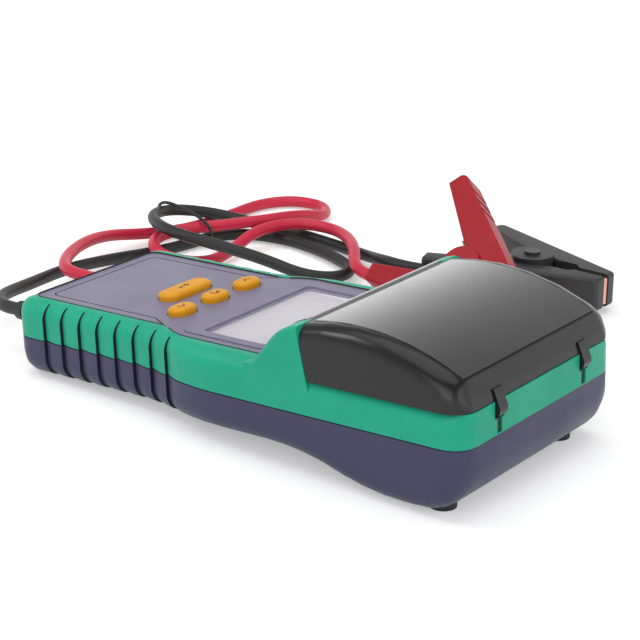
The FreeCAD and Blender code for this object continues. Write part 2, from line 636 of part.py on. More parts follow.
def finish_lower_case(feet_cutters):
    """Lower shell with screw bosses, posts for printer and tub, lead holes and foot recesses."""
    shell = feature("lower_shell", lower_case())
    outside = feature("lower_envelope", x_loft(case_stations(), lower_section))
    bosses = at_spots("lower_boss", SCREW_SPOTS, "boss_radius", "-belly_depth", "belly_depth")
    posts = at_spots("frame_post", FRAME_SPOTS, "post_radius", "-belly_depth", "belly_depth + frame_floor")
    posts += at_spots("tub_post", TUB_SPOTS, "post_radius", "-belly_depth", "belly_depth + tub_floor")
    trimmed = doc.addObject("Part::MultiCommon", "trimmed_posts")
    trimmed.Shapes = [fuse("lower_posts", bosses + posts), outside]
    whole = fuse("lower_case_solid", [shell, trimmed])
    holes = at_spots("screw_way", SCREW_SPOTS, "screw_radius + run_gap", "-belly_depth", "belly_depth + 1")
    holes += at_spots("screw_well", SCREW_SPOTS, "screw_head_radius + fit_gap", "-belly_depth - 1",
                      "belly_depth + 1 - screw_seat")
    holes += at_spots("frame_screw_hole", FRAME_SPOTS, "board_screw_radius + run_gap", "frame_floor - 3", "4")
    holes += lead_holes("lower_lead_hole")
    return keep(cut("lower_case", whole, holes + feet_cutters), "lower_case")


def ribbon(points, width):
    """Plan outline of a line of even width along a chain of points."""
    sides = ([], [])
    for i, point in enumerate(points):
        before = points[max(i - 1, 0)]
        after = points[min(i + 1, len(points) - 1)]
        into = (point - before) if i else (after - point)
        out = (after - point) if i < len(points) - 1 else into
        into.normalize()
        out.normalize()
        normal = Vector(-into.y - out.y, into.x + out.x, 0)
        normal.normalize()
        reach = width / 2 / max(normal.x * -out.y + normal.y * out.x, 0.3)
        sides[0].append(point + normal * reach)
        sides[1].append(point - normal * reach)
    return sides[0] + sides[1][::-1]


def round_rectangle(x_low, x_high, half, corner):
    """Plan outline of a rectangle with round corners."""
    inner = corner * (1 - math.sqrt(0.5))
    return [Vector(x_low + corner, -half, 0), Vector(x_high - corner, -half, 0),
            (Vector(x_high - inner, inner - half, 0), Vector(x_high, corner - half, 0)), Vector(x_high, half - corner, 0),
            (Vector(x_high - inner, half - inner, 0), Vector(x_high - corner, half, 0)), Vector(x_low + corner, half, 0),
            (Vector(x_low + inner, half - inner, 0), Vector(x_low, half - corner, 0)), Vector(x_low, corner - half, 0),
            (Vector(x_low + inner, inner - half, 0), Vector(x_low + corner, -half, 0))]


def slot_cutter(x, y, length, width):
    """Round-ended opening for a key, long across the case."""
    reach = (length - width) / 2
    outline = [Vector(x - width / 2, y - reach, 0),
               (Vector(x, y - reach - width / 2, 0), Vector(x + width / 2, y - reach, 0)),
               Vector(x + width / 2, y + reach, 0),
               (Vector(x, y + reach + width / 2, 0), Vector(x - width / 2, y + reach, 0))]
    return slab(outline, 0, FAR)


def tear_outline():
    """Plan outline of the tear bar with its saw edge towards the paper."""
    start, edge, pitch, half = size("tear_start"), size("tear_start") + size("tear_width"), size("tear_pitch"), size("tear_half")
    count = int(2 * half / pitch)
    points = [Vector(start, -half, 0)]
    for i in range(count):
        y = -half + 2 * half * i / count
        points += [Vector(edge - pitch / 3, y, 0), Vector(edge, y + half / count, 0)]
    return points + [Vector(edge - pitch / 3, half, 0), Vector(start, half, 0)]


def panel_pieces():
    """Front panel with its openings and engraved line, tear bar, display bezel and window."""
    sheet_band = ramp_band(size("panel_sink"), PANEL_FLOOR, size("panel_start") - 5, FAR / 2)
    panel = sheet_band.common(slab(panel_outline(0.0, size("tear_start") - size("fit_gap")), 0, FAR))
    gap, key_gap = size("fit_gap"), size("key_gap")
    bezel_end = size("bezel_start") + size("bezel_length")
    cutters = [slab(round_rectangle(size("bezel_start") - gap, bezel_end + gap, size("bezel_half") + gap,
                                    size("bezel_corner") + gap), 0, FAR)]
    for i in (-1, 0, 1):
        cutters.append(slot_cutter(size("key_row"), i * size("key_pitch"), size("key_length") + 2 * key_gap,
                                   size("key_width") + 2 * key_gap))
    cutters.append(slot_cutter(size("enter_row"), 0, size("enter_length") + 2 * key_gap,
                               size("enter_width") + 2 * key_gap))
    inset = size("panel_grip_half") - size("panel_line_inset")
    heel = size("panel_start") + size("panel_line_inset")
    corner = size("panel_corner") / 2
    side = [Vector(size("panel_line_end"), panel_half(size("panel_line_end")) + 1, 0),
            Vector(size("panel_line_flare"), inset, 0), Vector(heel + corner, inset, 0), Vector(heel, inset - corner, 0)]
    other = [Vector(p.x, -p.y, 0) for p in reversed(side)]
    line_floor = size("deck_height") - size("panel_sink") - size("panel_line_depth")
    cutters.append(slab(ribbon(side + other, size("panel_line")), line_floor, FAR))
    for cutter in cutters:
        panel = panel.cut(cutter)
    keep(feature("front_panel", panel), "front_panel")
    bar = ramp_band(-size("tear_proud"), PANEL_FLOOR, 0, FAR / 2).common(slab(tear_outline(), 0, FAR))
    keep(feature("tear_bar", bar), "tear_bar")
    bezel = slab(round_rectangle(size("bezel_start"), bezel_end, size("bezel_half"), size("bezel_corner")),
                 size("deck_height") - PANEL_FLOOR, size("deck_height"))
    view_end = size("view_start") + size("view_length")
    opening = slab(round_rectangle(size("view_start") - gap, view_end + gap, size("view_half") + gap,
                                   size("view_corner") + gap), 0, FAR)
    keep(feature("display_bezel", bezel.cut(opening)), "display_bezel")
    glass = slab(round_rectangle(size("view_start"), view_end, size("view_half"), size("view_corner")),
                 size("deck_height") - PANEL_FLOOR, size("deck_height") - PANEL_FLOOR + size("window_thick"))
    keep(feature("display_window", glass), "display_window")


def key(label, x, y, length, width):
    """Push button: flange under the panel, round-ended cap and a stem towards its switch."""
    body, plane = body_on(label)
    flange = sketch_in(body, label + "_flange", plane)
    draw_slot(flange, length + " + 2 * key_flange", width + " + 2 * key_flange")
    pad(body, flange, "key_flange_thick", "flange_pad")
    cap = sketch_in(body, label + "_cap", plane)
    draw_slot(cap, length, width)
    pad(body, cap, "key_flange_thick + panel_thick + key_proud", "cap_pad")
    stem = sketch_in(body, label + "_stem", plane)
    draw_circle(stem, "stem_radius")
    foot = pad(body, stem, PANEL_UNDER + " - key_flange_thick - board_top - switch_height - key_travel - run_gap",
               "stem_pad")
    foot.Reversed = True
    doc.recompute()
    top = size("key_flange_thick") + size("panel_thick") + size("key_proud")
    rims = ["Edge%d" % (i + 1) for i, e in enumerate(foot.Shape.Edges)
            if abs(e.BoundBox.ZMin - top) < 1e-4 and abs(e.BoundBox.ZMax - top) < 1e-4]
    soft = body.newObject("PartDesign::Fillet", label + "_soft")
    soft.Base = (foot, rims)
    soft.setExpression("Radius", bound("key_round"))
    body.Placement.Base = Vector(x, y, size("deck_height") - PANEL_FLOOR - size("key_flange_thick"))
    return keep(body, label)


def electronics():
    """Board with its parts, key switches, display module on spacers, and the screws that hold the board."""
    board_spots = [(spot, x, "board_screw_y") for spot, x in BOARD_SPOTS]
    board = block("board_blank", ("board_start", "board_end"), ("-board_half", "board_half"),
                  ("board_top - board_thick", "board_top"))
    keep(cut("main_board", board, at_spots("board_hole", board_spots, "board_screw_radius + run_gap",
                                           "board_top - board_thick - 1", "board_thick + 2")), "main_board")
    under = "board_top - board_thick"
    shanks = at_spots("board_screw", board_spots, "board_screw_radius", under, "board_thick + 4")
    heads = at_spots("board_screw_head", board_spots, "board_screw_head", under + " - board_screw_head_thick",
                     "board_screw_head_thick")
    keep(group("board_screws", [fuse("board_screw_%d" % i, pair) for i, pair in enumerate(zip(shanks, heads))]),
         "board_screws")
    switches = []
    for name, place in KEYS + (("enter", 0),):
        x = "enter_row" if name == "enter" else "key_row"
        y = "%d * key_pitch" % place
        base = block("switch_%s_base" % name, (x + " - switch_side / 2", x + " + switch_side / 2"),
                     (y + " - switch_side / 2", y + " + switch_side / 2"), ("board_top", "board_top + switch_height - 0.8"))
        button = rod("switch_%s_button" % name, "stem_radius", (x, y, "board_top"), "switch_height", ALONG_Z)
        switches.append(fuse("switch_" + name, [base, button]))
    keep(group("key_switches", switches), "key_switches")
    lcd_low = PANEL_UNDER + " - lcd_thick"
    glass = block("lcd_glass", ("view_start - lcd_margin", "view_start + view_length + lcd_margin"),
                  ("-view_half - lcd_margin", "view_half + lcd_margin"), (lcd_low, PANEL_UNDER))
    keep(group("lcd_module", [glass]), "lcd_module")
    corner = (("back", "view_start + spacer_radius", "view_half - 2 * spacer_radius"),
              ("front", "view_start + view_length - spacer_radius", "view_half - 2 * spacer_radius"))
    keep(group("display_spacers", at_spots("spacer", corner, "spacer_radius", "board_top", lcd_low + " - board_top")),
         "display_spacers")
    chip = block("processor", ("view_start + 3", "view_start + 17"), ("-7", "7"), ("board_top", "board_top + 1.6"))
    relay = block("load_switch", ("board_start + 4", "board_start + 17"), ("-22", "-8"), ("board_top", "board_top + 5"))
    caps = [rod("capacitor_%d" % i, "3", ("board_start + 10", "%d" % (8 + 9 * i), "board_top"), "5.5", ALONG_Z)
            for i in range(2)]
    plug = block("printer_plug", ("board_end - 8", "board_end"), ("-14", "14"),
                 (under + " - 5", under))
    ends = [block("lead_terminal_" + side, ("cable_end + lead_insert", "cable_end + lead_insert + terminal_length"),
                  ("%s * lead_y - terminal_width / 2" % sign, "%s * lead_y + terminal_width / 2" % sign),
                  ("lead_z - lead_diameter / 2 - 1", under)) for side, sign in SIDES]
    keep(group("board_components", [chip, relay, plug] + caps + ends), "board_components")


# Printer: frame, motor, gear train, platen, head, paper tub and roll
def around(centre_x, centre_z, bearing, distance):
    """Point at a bearing and distance from a centre, in the plane of the gears."""
    turn = math.radians(bearing)
    return centre_x + distance * math.cos(turn), centre_z + distance * math.sin(turn)


PLATEN = (size("platen_x"), size("platen_z"))
MESH = size("gear_module") / 2
IDLER = around(*PLATEN, size("idler_bearing"),
               MESH * (size("platen_teeth") + size("idler_teeth")) + size("mesh_gap"))
PINION = around(*IDLER, size("pinion_bearing"),
                MESH * (size("idler_teeth") + size("pinion_teeth")) + size("mesh_gap"))
GEAR_START = size("frame_half") + size("gear_gap")


def gear(label, teeth, centre, bore, phase):
    """Spur gear with straight-flanked teeth, one tooth centred on the phase angle."""
    teeth = int(teeth)
    module = size("gear_module")
    radius = module * teeth / 2
    pitch = 2 * math.pi / teeth
    points = []
    for i in range(teeth):
        middle = math.radians(phase) + i * pitch
        for share, reach in ((-0.29, radius - 1.25 * module), (-0.11, radius + module), (0.11, radius + module),
                             (0.29, radius - 1.25 * module)):
            turn = middle + share * pitch
            points.append(Vector(centre[0] + reach * math.cos(turn), GEAR_START, centre[1] + reach * math.sin(turn)))
    hole = Part.makeCylinder(bore, size("gear_thick"), Vector(centre[0], GEAR_START, centre[1]), Vector(0, 1, 0))
    blank = profile(points).extrude(Vector(0, size("gear_thick"), 0))
    return keep(feature(label, blank.cut(hole)), label)


def gear_train():
    """Motor pinion, idler and platen gear in one plane outside the frame, with their teeth in mesh."""
    idler_pitch = 360 / size("idler_teeth")
    idler_phase = size("idler_bearing") + 180 + idler_pitch / 2
    past_tooth = (size("pinion_bearing") - idler_phase) % idler_pitch
    pinion_gap = size("pinion_bearing") + 180 + past_tooth * size("idler_teeth") / size("pinion_teeth")
    gear("platen_gear", size("platen_teeth"), PLATEN, size("shaft_radius"), size("idler_bearing"))
    gear("idler_gear", size("idler_teeth"), IDLER, size("stud_radius") + size("run_gap"), idler_phase)
    gear("motor_pinion", size("pinion_teeth"), PINION, size("motor_shaft") + size("run_gap"),
         pinion_gap + 180 / size("pinion_teeth"))


def round_bar(radius, centre, start, end):
    """Cylinder across the case between two Y levels."""
    return Part.makeCylinder(radius, end - start, Vector(centre[0], start, centre[1]), Vector(0, 1, 0))


def printer_frame():
    """Folded frame: floor plate, bridge and two side plates, with the idler's stud and the motor's opening."""
    back, front, floor = size("frame_back"), size("frame_front"), size("frame_floor")
    half, thick, step = size("frame_half"), size("plate_thick"), size("frame_step")
    bridge = size("bridge_x")
    outline = [Vector(back, 0, floor), Vector(front, 0, floor), Vector(front, 0, step),
               Vector(bridge + 2 * thick, 0, step), Vector(bridge + 2 * thick, 0, size("bridge_high") - thick),
               Vector(bridge, 0, size("bridge_high") - thick), Vector(back, 0, size("bridge_low"))]
    frame = across(outline, half).cut(across(outline, half - thick))
    frame = frame.fuse(Part.makeBox(front - back, 2 * half, thick, Vector(back, -half, floor)))
    frame = frame.fuse(Part.makeBox(thick, 2 * half, size("bridge_high") - size("bridge_low"),
                                    Vector(bridge, -half, size("bridge_low"))))
    frame = frame.fuse(round_bar(size("stud_radius"), IDLER, half - thick / 2, GEAR_START + size("gear_thick") + 0.5))
    frame = frame.cut(round_bar(size("motor_shaft") + size("fit_gap"), PINION, half - thick - 1, half + 1))
    base = feature("frame_plates", frame.removeSplitter())
    keep(cut("printer_frame", base, at_spots("frame_hole", FRAME_SPOTS, "board_screw_radius + run_gap",
                                             "frame_floor - 1", "plate_thick + 2")), "printer_frame")
    shanks = at_spots("frame_screw", FRAME_SPOTS, "board_screw_radius", "frame_floor - 2.5", "plate_thick + 2.5")
    heads = at_spots("frame_screw_head", FRAME_SPOTS, "board_screw_head", "frame_floor + plate_thick",
                     "board_screw_head_thick")
    keep(group("frame_screws", [fuse("frame_screw_%d" % i, pair) for i, pair in enumerate(zip(shanks, heads))]),
         "frame_screws")


def printer_works():
    """Stepper motor, sprung print head, platen and the paper roll in its tub."""
    inner = size("frame_half") - size("plate_thick")
    motor = round_bar(size("motor_radius"), PINION, inner - size("motor_length"), inner)
    motor = motor.fuse(round_bar(size("motor_shaft"), PINION, inner - 1, GEAR_START + size("gear_thick")))
    keep(feature("stepper_motor", motor), "stepper_motor")
    face = "platen_x - platen_radius - nip_gap"
    plate = block("head_plate", (face + " - head_thick", face), ("-paper_width / 2", "paper_width / 2"),
                  ("head_low", "head_high"))
    keep(group("print_head", [plate]), "print_head")
    springs = [rod("head_spring_" + side, "head_spring_radius",
                   ("bridge_x + plate_thick", "%s * head_spring_y" % sign, "bridge_high - 2 * head_spring_radius"),
                   face + " - head_thick - bridge_x - plate_thick", ALONG_X) for side, sign in SIDES]
    keep(group("head_springs", springs), "head_springs")
    reach = size("paper_width") / 2
    arm_end = reach + size("arm_gap") + size("arm_thick")
    keep(feature("platen_shaft", round_bar(size("shaft_radius"), PLATEN, -arm_end - size("arm_gap"),
                                           GEAR_START + size("gear_thick") + 0.3)), "platen_shaft")
    rubber = round_bar(size("platen_radius"), PLATEN, -reach, reach)
    keep(feature("platen_roller", rubber.cut(round_bar(size("shaft_radius"), PLATEN, -reach, reach))), "platen_roller")
    roll, plane = body_on("paper_roll")
    coil = sketch_in(roll, "paper_outline", plane)
    draw_circle(coil, "roll_radius", "_outer")
    draw_circle(coil, "core_radius", "_core")
    pad(roll, coil, "paper_width - 1")
    roll.Placement = Placement(Vector(size("roll_x"), (1 - size("paper_width")) / 2, size("roll_z")), ALONG_Y)
    keep(roll, "paper_roll")
    wide = size("roll_radius") + size("tub_gap")
    outer = wide + size("tub_wall") + size("run_gap")
    foot, top, bend = size("tub_foot") / 2, size("tub_top"), size("tub_bend")
    middle = size("roll_x")
    outline = [Vector(middle - outer, 0, top), Vector(middle - outer, 0, bend),
               Vector(middle - foot, 0, size("tub_floor")), Vector(middle + foot, 0, size("tub_floor")),
               Vector(middle + outer, 0, bend), Vector(middle + outer, 0, top)]
    inside = reach + size("tub_gap")
    cradle = (middle, size("roll_z") + size("tub_gap") - size("tub_rest"))
    tub = across(outline, inside + size("tub_wall")).cut(round_bar(wide, cradle, -inside, inside))
    tub = tub.cut(Part.makeBox(2 * wide, 2 * inside, FAR, Vector(middle - wide, -inside, cradle[1])))
    keep(feature("printer_tub", tub), "printer_tub")


# Printer cover: domed lid with an inlaid top plate, hinge tongues at its end and arms for the platen
COVER_LOW = size("rim_height") + size("cover_gap")


def cover_top(x):
    """Height of the cover's crown: an arc, then a steep nose beyond the crease."""
    arc = lambda place: size("arc_top") - corner_loss(size("arc_radius") - abs(place - size("arc_middle")),
                                                      size("arc_radius"))
    crease = size("crease_x")
    if x <= crease:
        return arc(x)
    return arc(crease) + (COVER_LOW - arc(crease)) * (x - crease) / (size("cover_end") - crease)


def lid_section(x, half, top, low, bend):
    """Section of the lid: upright sides, round shoulders, flat crown."""
    inner = bend * (1 - math.sqrt(0.5))
    return [Vector(x, -half, low), Vector(x, -half, top - bend), (Vector(x, inner - half, top - inner),
            Vector(x, bend - half, top)), Vector(x, half - bend, top),
            (Vector(x, half - inner, top - inner), Vector(x, half, top - bend)), Vector(x, half, low)]


def cover_section(x):
    """Outer section of the cover."""
    top = cover_top(x)
    share = (x - size("hump_end")) / (size("crease_x") - size("hump_end"))
    bend = size("shoulder_front") + (size("shoulder_end") - size("shoulder_front")) * min(max(share, 0.0), 1.0)
    return lid_section(x, case_half(x), top + size("cover_lip"), COVER_LOW, max(min(bend, top - COVER_LOW), 0.1))


def cover_hollow_section(x):
    """Inside of the cover, open downwards."""
    wall = size("cover_wall")
    top = min(cover_top(x), cover_top(x + wall)) - wall - size("inlay_thick")
    half = case_half(x, wall)
    low = COVER_LOW - 1.0
    return lid_section(x, half, top, low, min(size("shoulder_front") - wall, top - low - 0.2))


def cover_stations(end, inset):
    """Stations of the cover along X up to an end."""
    xs = spread(size("hump_end") - 2, PRINTER_END - size("end_corner_radius") - inset, 5)
    xs += [PRINTER_END - inset - size("end_corner_radius") * (1 - math.sin(math.radians(a))) for a in (20, 36, 50)]
    return [x for x in xs if x < end - 0.3 and abs(x - size("crease_x")) > 0.3] + [end]


def inlay_band(depth, grow):
    """Crown layer for the top plate: an arc band of a depth over a plan grown by a gap."""
    start, end, middle = size("inlay_start") - grow, size("inlay_end") + grow, size("arc_middle")
    high = lambda x, sink: Vector(x, 0, cover_top(x) - sink)
    lift = -size("cover_lip") if grow == 0 else -size("arc_top") / 4
    outline = [high(start, lift), (high(middle, lift), high(end, lift)), high(end, depth),
               (high(middle, depth), high(start, depth))]
    return across(outline, size("inlay_half") + grow)


def printer_cover():
    """Cover shell with platen arms, knuckled tongues and the recess for its top plate; then the plate itself."""
    wall = size("cover_wall")
    outer_xs = sorted(cover_stations(size("cover_end"), 0.0) + [size("crease_x")])
    shell = x_loft(outer_xs, cover_section)
    inner_end = size("crease_x")
    while cover_top(inner_end + wall) - wall - size("inlay_thick") < COVER_LOW + 1.0:
        inner_end -= 0.2
    shell = shell.cut(x_loft(cover_stations(inner_end, wall), cover_hollow_section))
    gap = size("cover_gap")
    front = across([Vector(cover_front_x(0) + gap, 0, 0), Vector(cover_front_x(FAR) + gap, 0, FAR),
                    Vector(-FAR, 0, FAR), Vector(-FAR, 0, 0)], FAR)
    shell = shell.cut(front).cut(inlay_band(size("inlay_thick"), size("inlay_gap")))
    hinge_x, hinge_z, knuckle = size("hinge_x"), size("hinge_z"), size("knuckle_radius")
    tongue = [Vector(hinge_x - knuckle, 0, hinge_z), Vector(hinge_x - 2, 0, COVER_LOW + 1.6),
              Vector(hinge_x - 1, 0, size("tongue_top")), Vector(hinge_x + 0.4, 0, size("tongue_top") - 0.4),
              Vector(hinge_x + knuckle, 0, hinge_z + 1), Vector(hinge_x + knuckle, 0, hinge_z),
              (Vector(hinge_x, 0, hinge_z - knuckle), Vector(hinge_x - knuckle, 0, hinge_z))]
    arm_in = size("paper_width") / 2 + size("arm_gap")
    arm_out = arm_in + size("arm_thick")
    arm_half = 2 * size("shaft_radius")
    for sign in (-1, 1):
        flap = across(tongue, size("tongue_width") / 2)
        flap.translate(Vector(0, sign * size("tongue_y"), 0))
        shell = shell.fuse(flap)
        low, high = sorted((sign * arm_in, sign * arm_out))
        head = cover_top(PLATEN[0]) - wall
        arm = Part.makeBox(2 * arm_half, high - low, head - PLATEN[1], Vector(PLATEN[0] - arm_half, low, PLATEN[1]))
        shell = shell.fuse(arm).fuse(round_bar(arm_half, PLATEN, low, high))
    bores = [round_bar(size("shaft_radius") + size("run_gap"), PLATEN, -arm_out - 1, arm_out + 1),
             round_bar(size("pin_radius") + size("run_gap"), (hinge_x, hinge_z), -FAR / 2, FAR / 2)]
    keep(feature("printer_cover", shell.cut(bores[0]).cut(bores[1]).removeSplitter()), "printer_cover")
    keep(feature("cover_panel", inlay_band(size("inlay_thick"), 0.0)), "cover_panel")
    pins = [rod("hinge_pin_" + side, "pin_radius", ("hinge_x", "%s * tongue_y - pin_length / 2" % sign, "hinge_z"),
                "pin_length", ALONG_Y) for side, sign in SIDES]
    keep(group("hinge_pins", pins), "hinge_pins")


# Fasteners, feet and lead boots
LEAN = math.degrees(math.atan2(size("belly_depth") - size("grip_depth"), size("foot_x_belly") - size("foot_x_heel")))
TABLE_UP = Rotation(Vector(0, 1, 0), LEAN).multVec(Vector(0, 0, 1))
FOOT_SPOTS = (("belly", "foot_x_belly", "foot_y_belly"), ("heel", "foot_x_heel", "foot_y_heel"))


def foot_rods(name, grow):
    """Four short rods square to the table, all ending in one plane, grown by a gap."""
    seats = [(spot, size(x), size(y)) for spot, x, y in FOOT_SPOTS]
    levels = {spot: Vector(x, 0, -case_depth(x)).dot(TABLE_UP) for spot, x, y in seats}
    floor = min(levels.values()) - size("foot_proud")
    rods = []
    for spot, x, y in seats:
        for side, sign in SIDES:
            obj = doc.addObject("Part::Cylinder", "%s_%s_%s" % (name, spot, side))
            obj.setExpression("Radius", bound("foot_radius + %g" % grow))
            obj.Height = levels[spot] - floor + size("foot_sink") + grow
            base = Vector(x, float(sign) * y, -case_depth(x)) - TABLE_UP * (levels[spot] - floor)
            obj.Placement = Placement(base, Rotation(Vector(0, 1, 0), LEAN))
            rods.append(obj)
    return rods


def fasteners():
    """Case screws from below and the rubber feet."""
    shanks = at_spots("case_screw", SCREW_SPOTS, "screw_radius", "-screw_seat", "screw_seat + screw_reach")
    heads = at_spots("case_screw_head", SCREW_SPOTS, "screw_head_radius", "-screw_seat - screw_head", "screw_head")
    keep(group("case_screws", [fuse("case_screw_%d" % i, pair) for i, pair in enumerate(zip(shanks, heads))]),
         "case_screws")
    keep(group("rubber_feet", foot_rods("foot", 0.0)), "rubber_feet")


def boot(label, sign):
    """Strain relief: flanges either side of the case wall and a grooved, tapering sleeve round the lead."""
    y = "%s * lead_y" % sign
    end = "cable_end"
    back = Rotation(Vector(0, 1, 0), -90)
    solids = [rod(label + "_inner", "boot_radius", (end + " + wall + run_gap", y, "lead_z"), "boot_collar", ALONG_X),
              rod(label + "_neck", "boot_radius - boot_groove", (end + " - run_gap", y, "lead_z"),
                  "wall + 2 * run_gap", ALONG_X),
              rod(label + "_collar", "boot_radius", (end + " - run_gap", y, "lead_z"), "boot_collar", back),
              taper(label + "_sleeve", "boot_radius - boot_groove / 2", "boot_tip_radius",
                    (end + " - run_gap - boot_collar", y, "lead_z"), "boot_length - boot_collar", back)]
    rings = []
    for i in range(3):
        start = end + " - boot_collar - %d" % (3 + 4 * i)
        ring = cut("%s_groove_%d" % (label, i),
                   rod("%s_ring_%d" % (label, i), "boot_radius + 1", (start, y, "lead_z"), "1.2", ALONG_X),
                   [rod("%s_core_%d" % (label, i), "boot_tip_radius - 0.5 + %g" % (0.25 * (2 - i)),
                        (start + " - 1", y, "lead_z"), "4", ALONG_X)])
        rings.append(ring)
    bore = rod(label + "_bore", "lead_diameter / 2", (end + " + wall + boot_collar + 1", y, "lead_z"),
               "boot_length + boot_collar + wall + 3", back)
    keep(cut(label, fuse(label + "_solid", solids), rings + [bore]), label)


# Clamps, each in its own frame: jaw axis along X, hinge axis along Z through the rivet
def lever_outline(side):
    """Plan of one lever: straight back from jaw tip to handle end, jaw face, mouth hollow and inner handle edge."""
    tip, half = size("jaw_length"), size("jaw_half")
    reach, rise = size("handle_reach"), size("handle_rise")
    back = Vector(-reach - tip, rise - half, 0)
    back.normalize()
    inward = Vector(back.y * -1, back.x, 0)
    face = size("jaw_gap") / 2 + size("jaw_plate_thick")
    end = Vector(-reach, rise, 0)
    mouth = size("mouth_half")
    points = [Vector(tip, face, 0), Vector(tip, half, 0), end, end + inward * size("handle_end"),
              Vector(1 - size("ear_radius"), size("handle_inner"), 0), Vector(size("mouth_start"), mouth, 0),
              Vector(size("mouth_end"), mouth, 0),
              Vector(size("mouth_end") + mouth - face, face, 0)]
    return [Vector(p.x, side * p.y, 0) for p in points], back


def lever(side, web):
    """Clamp lever with rounded backs, finger grooves and either a middle web or a pair of ears."""
    points, back = lever_outline(side)
    half = size("clamp_thick") / 2
    shape = slab(points, -half, half)
    ends = [e for e in shape.Edges if e.BoundBox.ZLength > half and
            (e.CenterOfMass - points[1]).Length < 1 or (e.CenterOfMass - points[2]).Length < 1]
    shape = shape.makeFillet(size("handle_end") / 3, ends)
    rims = [e for e in shape.Edges if abs(abs(e.CenterOfMass.z) - half) < 1e-6
            and abs(e.CenterOfMass.y) > size("mouth_half") + 1 and e.Length > size("handle_end")]
    shape = shape.makeFillet(size("lever_round"), rims)
    for i in range(3):
        run = points[2] + Vector(-back.x, side * -back.y, 0) * (size("grip_first") + i * size("grip_pitch"))
        outward = Vector(back.y, side * -back.x, 0)
        groove = Part.makeCylinder(size("grip_groove"), 2 * half + 2, run + outward * size("grip_groove") * 0.35
                                   - Vector(0, 0, half + 1))
        shape = shape.cut(groove)
    disc, clear = size("ear_radius"), size("ear_radius") + size("ear_gap")
    inner = half + size("ear_proud") - size("ear_thick")
    web_half = inner - size("side_gap")
    bar = lambda radius, low, high: Part.makeCylinder(radius, high - low, Vector(0, 0, low))
    if web:
        for low, high in ((-half - 1, -web_half), (web_half, half + 1)):
            shape = shape.cut(bar(clear, low, high))
        pocket_half = size("spring_room")
        shape = shape.fuse(bar(disc, -web_half, web_half)).cut(bar(disc - 2.2, -pocket_half, pocket_half))
        shape = shape.cut(Part.makeBox(2 * disc, 2 * disc - 3, 2 * pocket_half,
                                       Vector(-2 * disc, 1.5 - disc, -pocket_half)))
    else:
        shape = shape.cut(bar(clear, -inner, inner))
        for low, high in ((-half - size("ear_proud"), -inner), (inner, half + size("ear_proud"))):
            shape = shape.fuse(bar(disc, low, high))
    return shape.cut(bar(size("rivet_radius") + (0 if web else size("run_gap")), -FAR / 2, FAR / 2)).removeSplitter()


def jaw_plate(side):
    """Toothed copper strip on the face of one jaw."""
    start, end = size("mouth_end") + size("mouth_half") - 1, size("jaw_length") - 0.5
    face, tip = size("jaw_gap") / 2 + size("jaw_plate_thick"), size("jaw_gap") / 2
    root = tip + size("tooth_depth")
    count = int((end - start) / size("tooth_pitch"))
    points = [Vector(start, face, 0)]
    for i in range(count):
        run = (end - start) / count
        points += [Vector(start + i * run, root, 0), Vector(start + (i + 0.5) * run, tip, 0)]
    points += [Vector(end, root, 0), Vector(end, face, 0)]
    half = size("jaw_plate_width") / 2
    return slab([Vector(p.x, side * p.y, 0) for p in points], -half, half)


def tube(edges, radius):
    """Round tube along a chain of tangent edges."""
    wire = Part.Wire(edges)
    first = edges[0]
    start = first.valueAt(first.FirstParameter)
    along = first.tangentAt(first.FirstParameter)
    if (edges[0].Vertexes[0].Point - start).Length > 1e-6:
        along = along * -1
    ring = Part.Wire(Part.Circle(start, along, radius).toShape())
    return wire.makePipeShell([ring], True, False)


def torsion_spring():
    """Coil round the rivet with a leg along the inside of each handle."""
    radius, pitch, leg = size("spring_radius"), size("spring_pitch"), size("spring_leg")
    slope = math.radians(90 - size("spring_leg_angle"))
    total = 2 * slope + 4 * math.pi
    pieces = 8
    rise = pitch * total / (2 * math.pi)
    spot = lambda turn: Vector(radius * math.cos(turn - slope), radius * math.sin(turn - slope),
                               rise * (turn / total - 0.5))
    edges = []
    for i in range(pieces):
        a, b = total * i / pieces, total * (i + 1) / pieces
        edges.append(Part.Arc(spot(a), spot((a + b) / 2), spot(b)).toShape())
    into = edges[0].tangentAt(edges[0].FirstParameter)
    out = edges[-1].tangentAt(edges[-1].LastParameter)
    start, end = spot(0), spot(total)
    edges.insert(0, Part.LineSegment(start - into * leg, start).toShape())
    edges.append(Part.LineSegment(end, end + out * leg).toShape())
    return tube(edges, size("spring_wire") / 2)


def clamp(colour, pose):
    """One alligator clamp in a pose: fixed lever with the lead's socket, moving lever, rivet, spring and jaw plates."""
    points, back = lever_outline(-1)
    end = (points[2] + points[3]) * 0.5
    away = Vector(back.x, -back.y, 0)
    socket = Part.makeCylinder(size("lead_diameter") / 2, size("lead_socket") + 5, end + away * 5, away * -1)
    keep(feature(colour + "_clamp_base", lever(-1, True).cut(socket)), colour + "_clamp_base", pose)
    keep(feature(colour + "_clamp_jaw", lever(1, False)), colour + "_clamp_jaw", pose)
    reach = "clamp_thick / 2 + ear_proud"
    parts = [rod(colour + "_rivet_shank", "rivet_radius", ("0", "0", "-(%s)" % reach), "2 * (%s)" % reach, ALONG_Z),
             rod(colour + "_rivet_top", "rivet_head_radius", ("0", "0", reach), "rivet_head", ALONG_Z),
             rod(colour + "_rivet_tail", "rivet_head_radius", ("0", "0", "-(%s) - rivet_head" % reach), "rivet_head",
                 ALONG_Z)]
    keep(fuse(colour + "_clamp_rivet", parts), colour + "_clamp_rivet", pose)
    keep(feature(colour + "_clamp_spring", torsion_spring()), colour + "_clamp_spring", pose)
    keep(feature(colour + "_base_teeth", jaw_plate(-1)), colour + "_base_teeth", pose)
    keep(feature(colour + "_jaw_teeth", jaw_plate(1)), colour + "_jaw_teeth", pose)
    return pose.multVec(end), pose.Rotation.multVec(away)


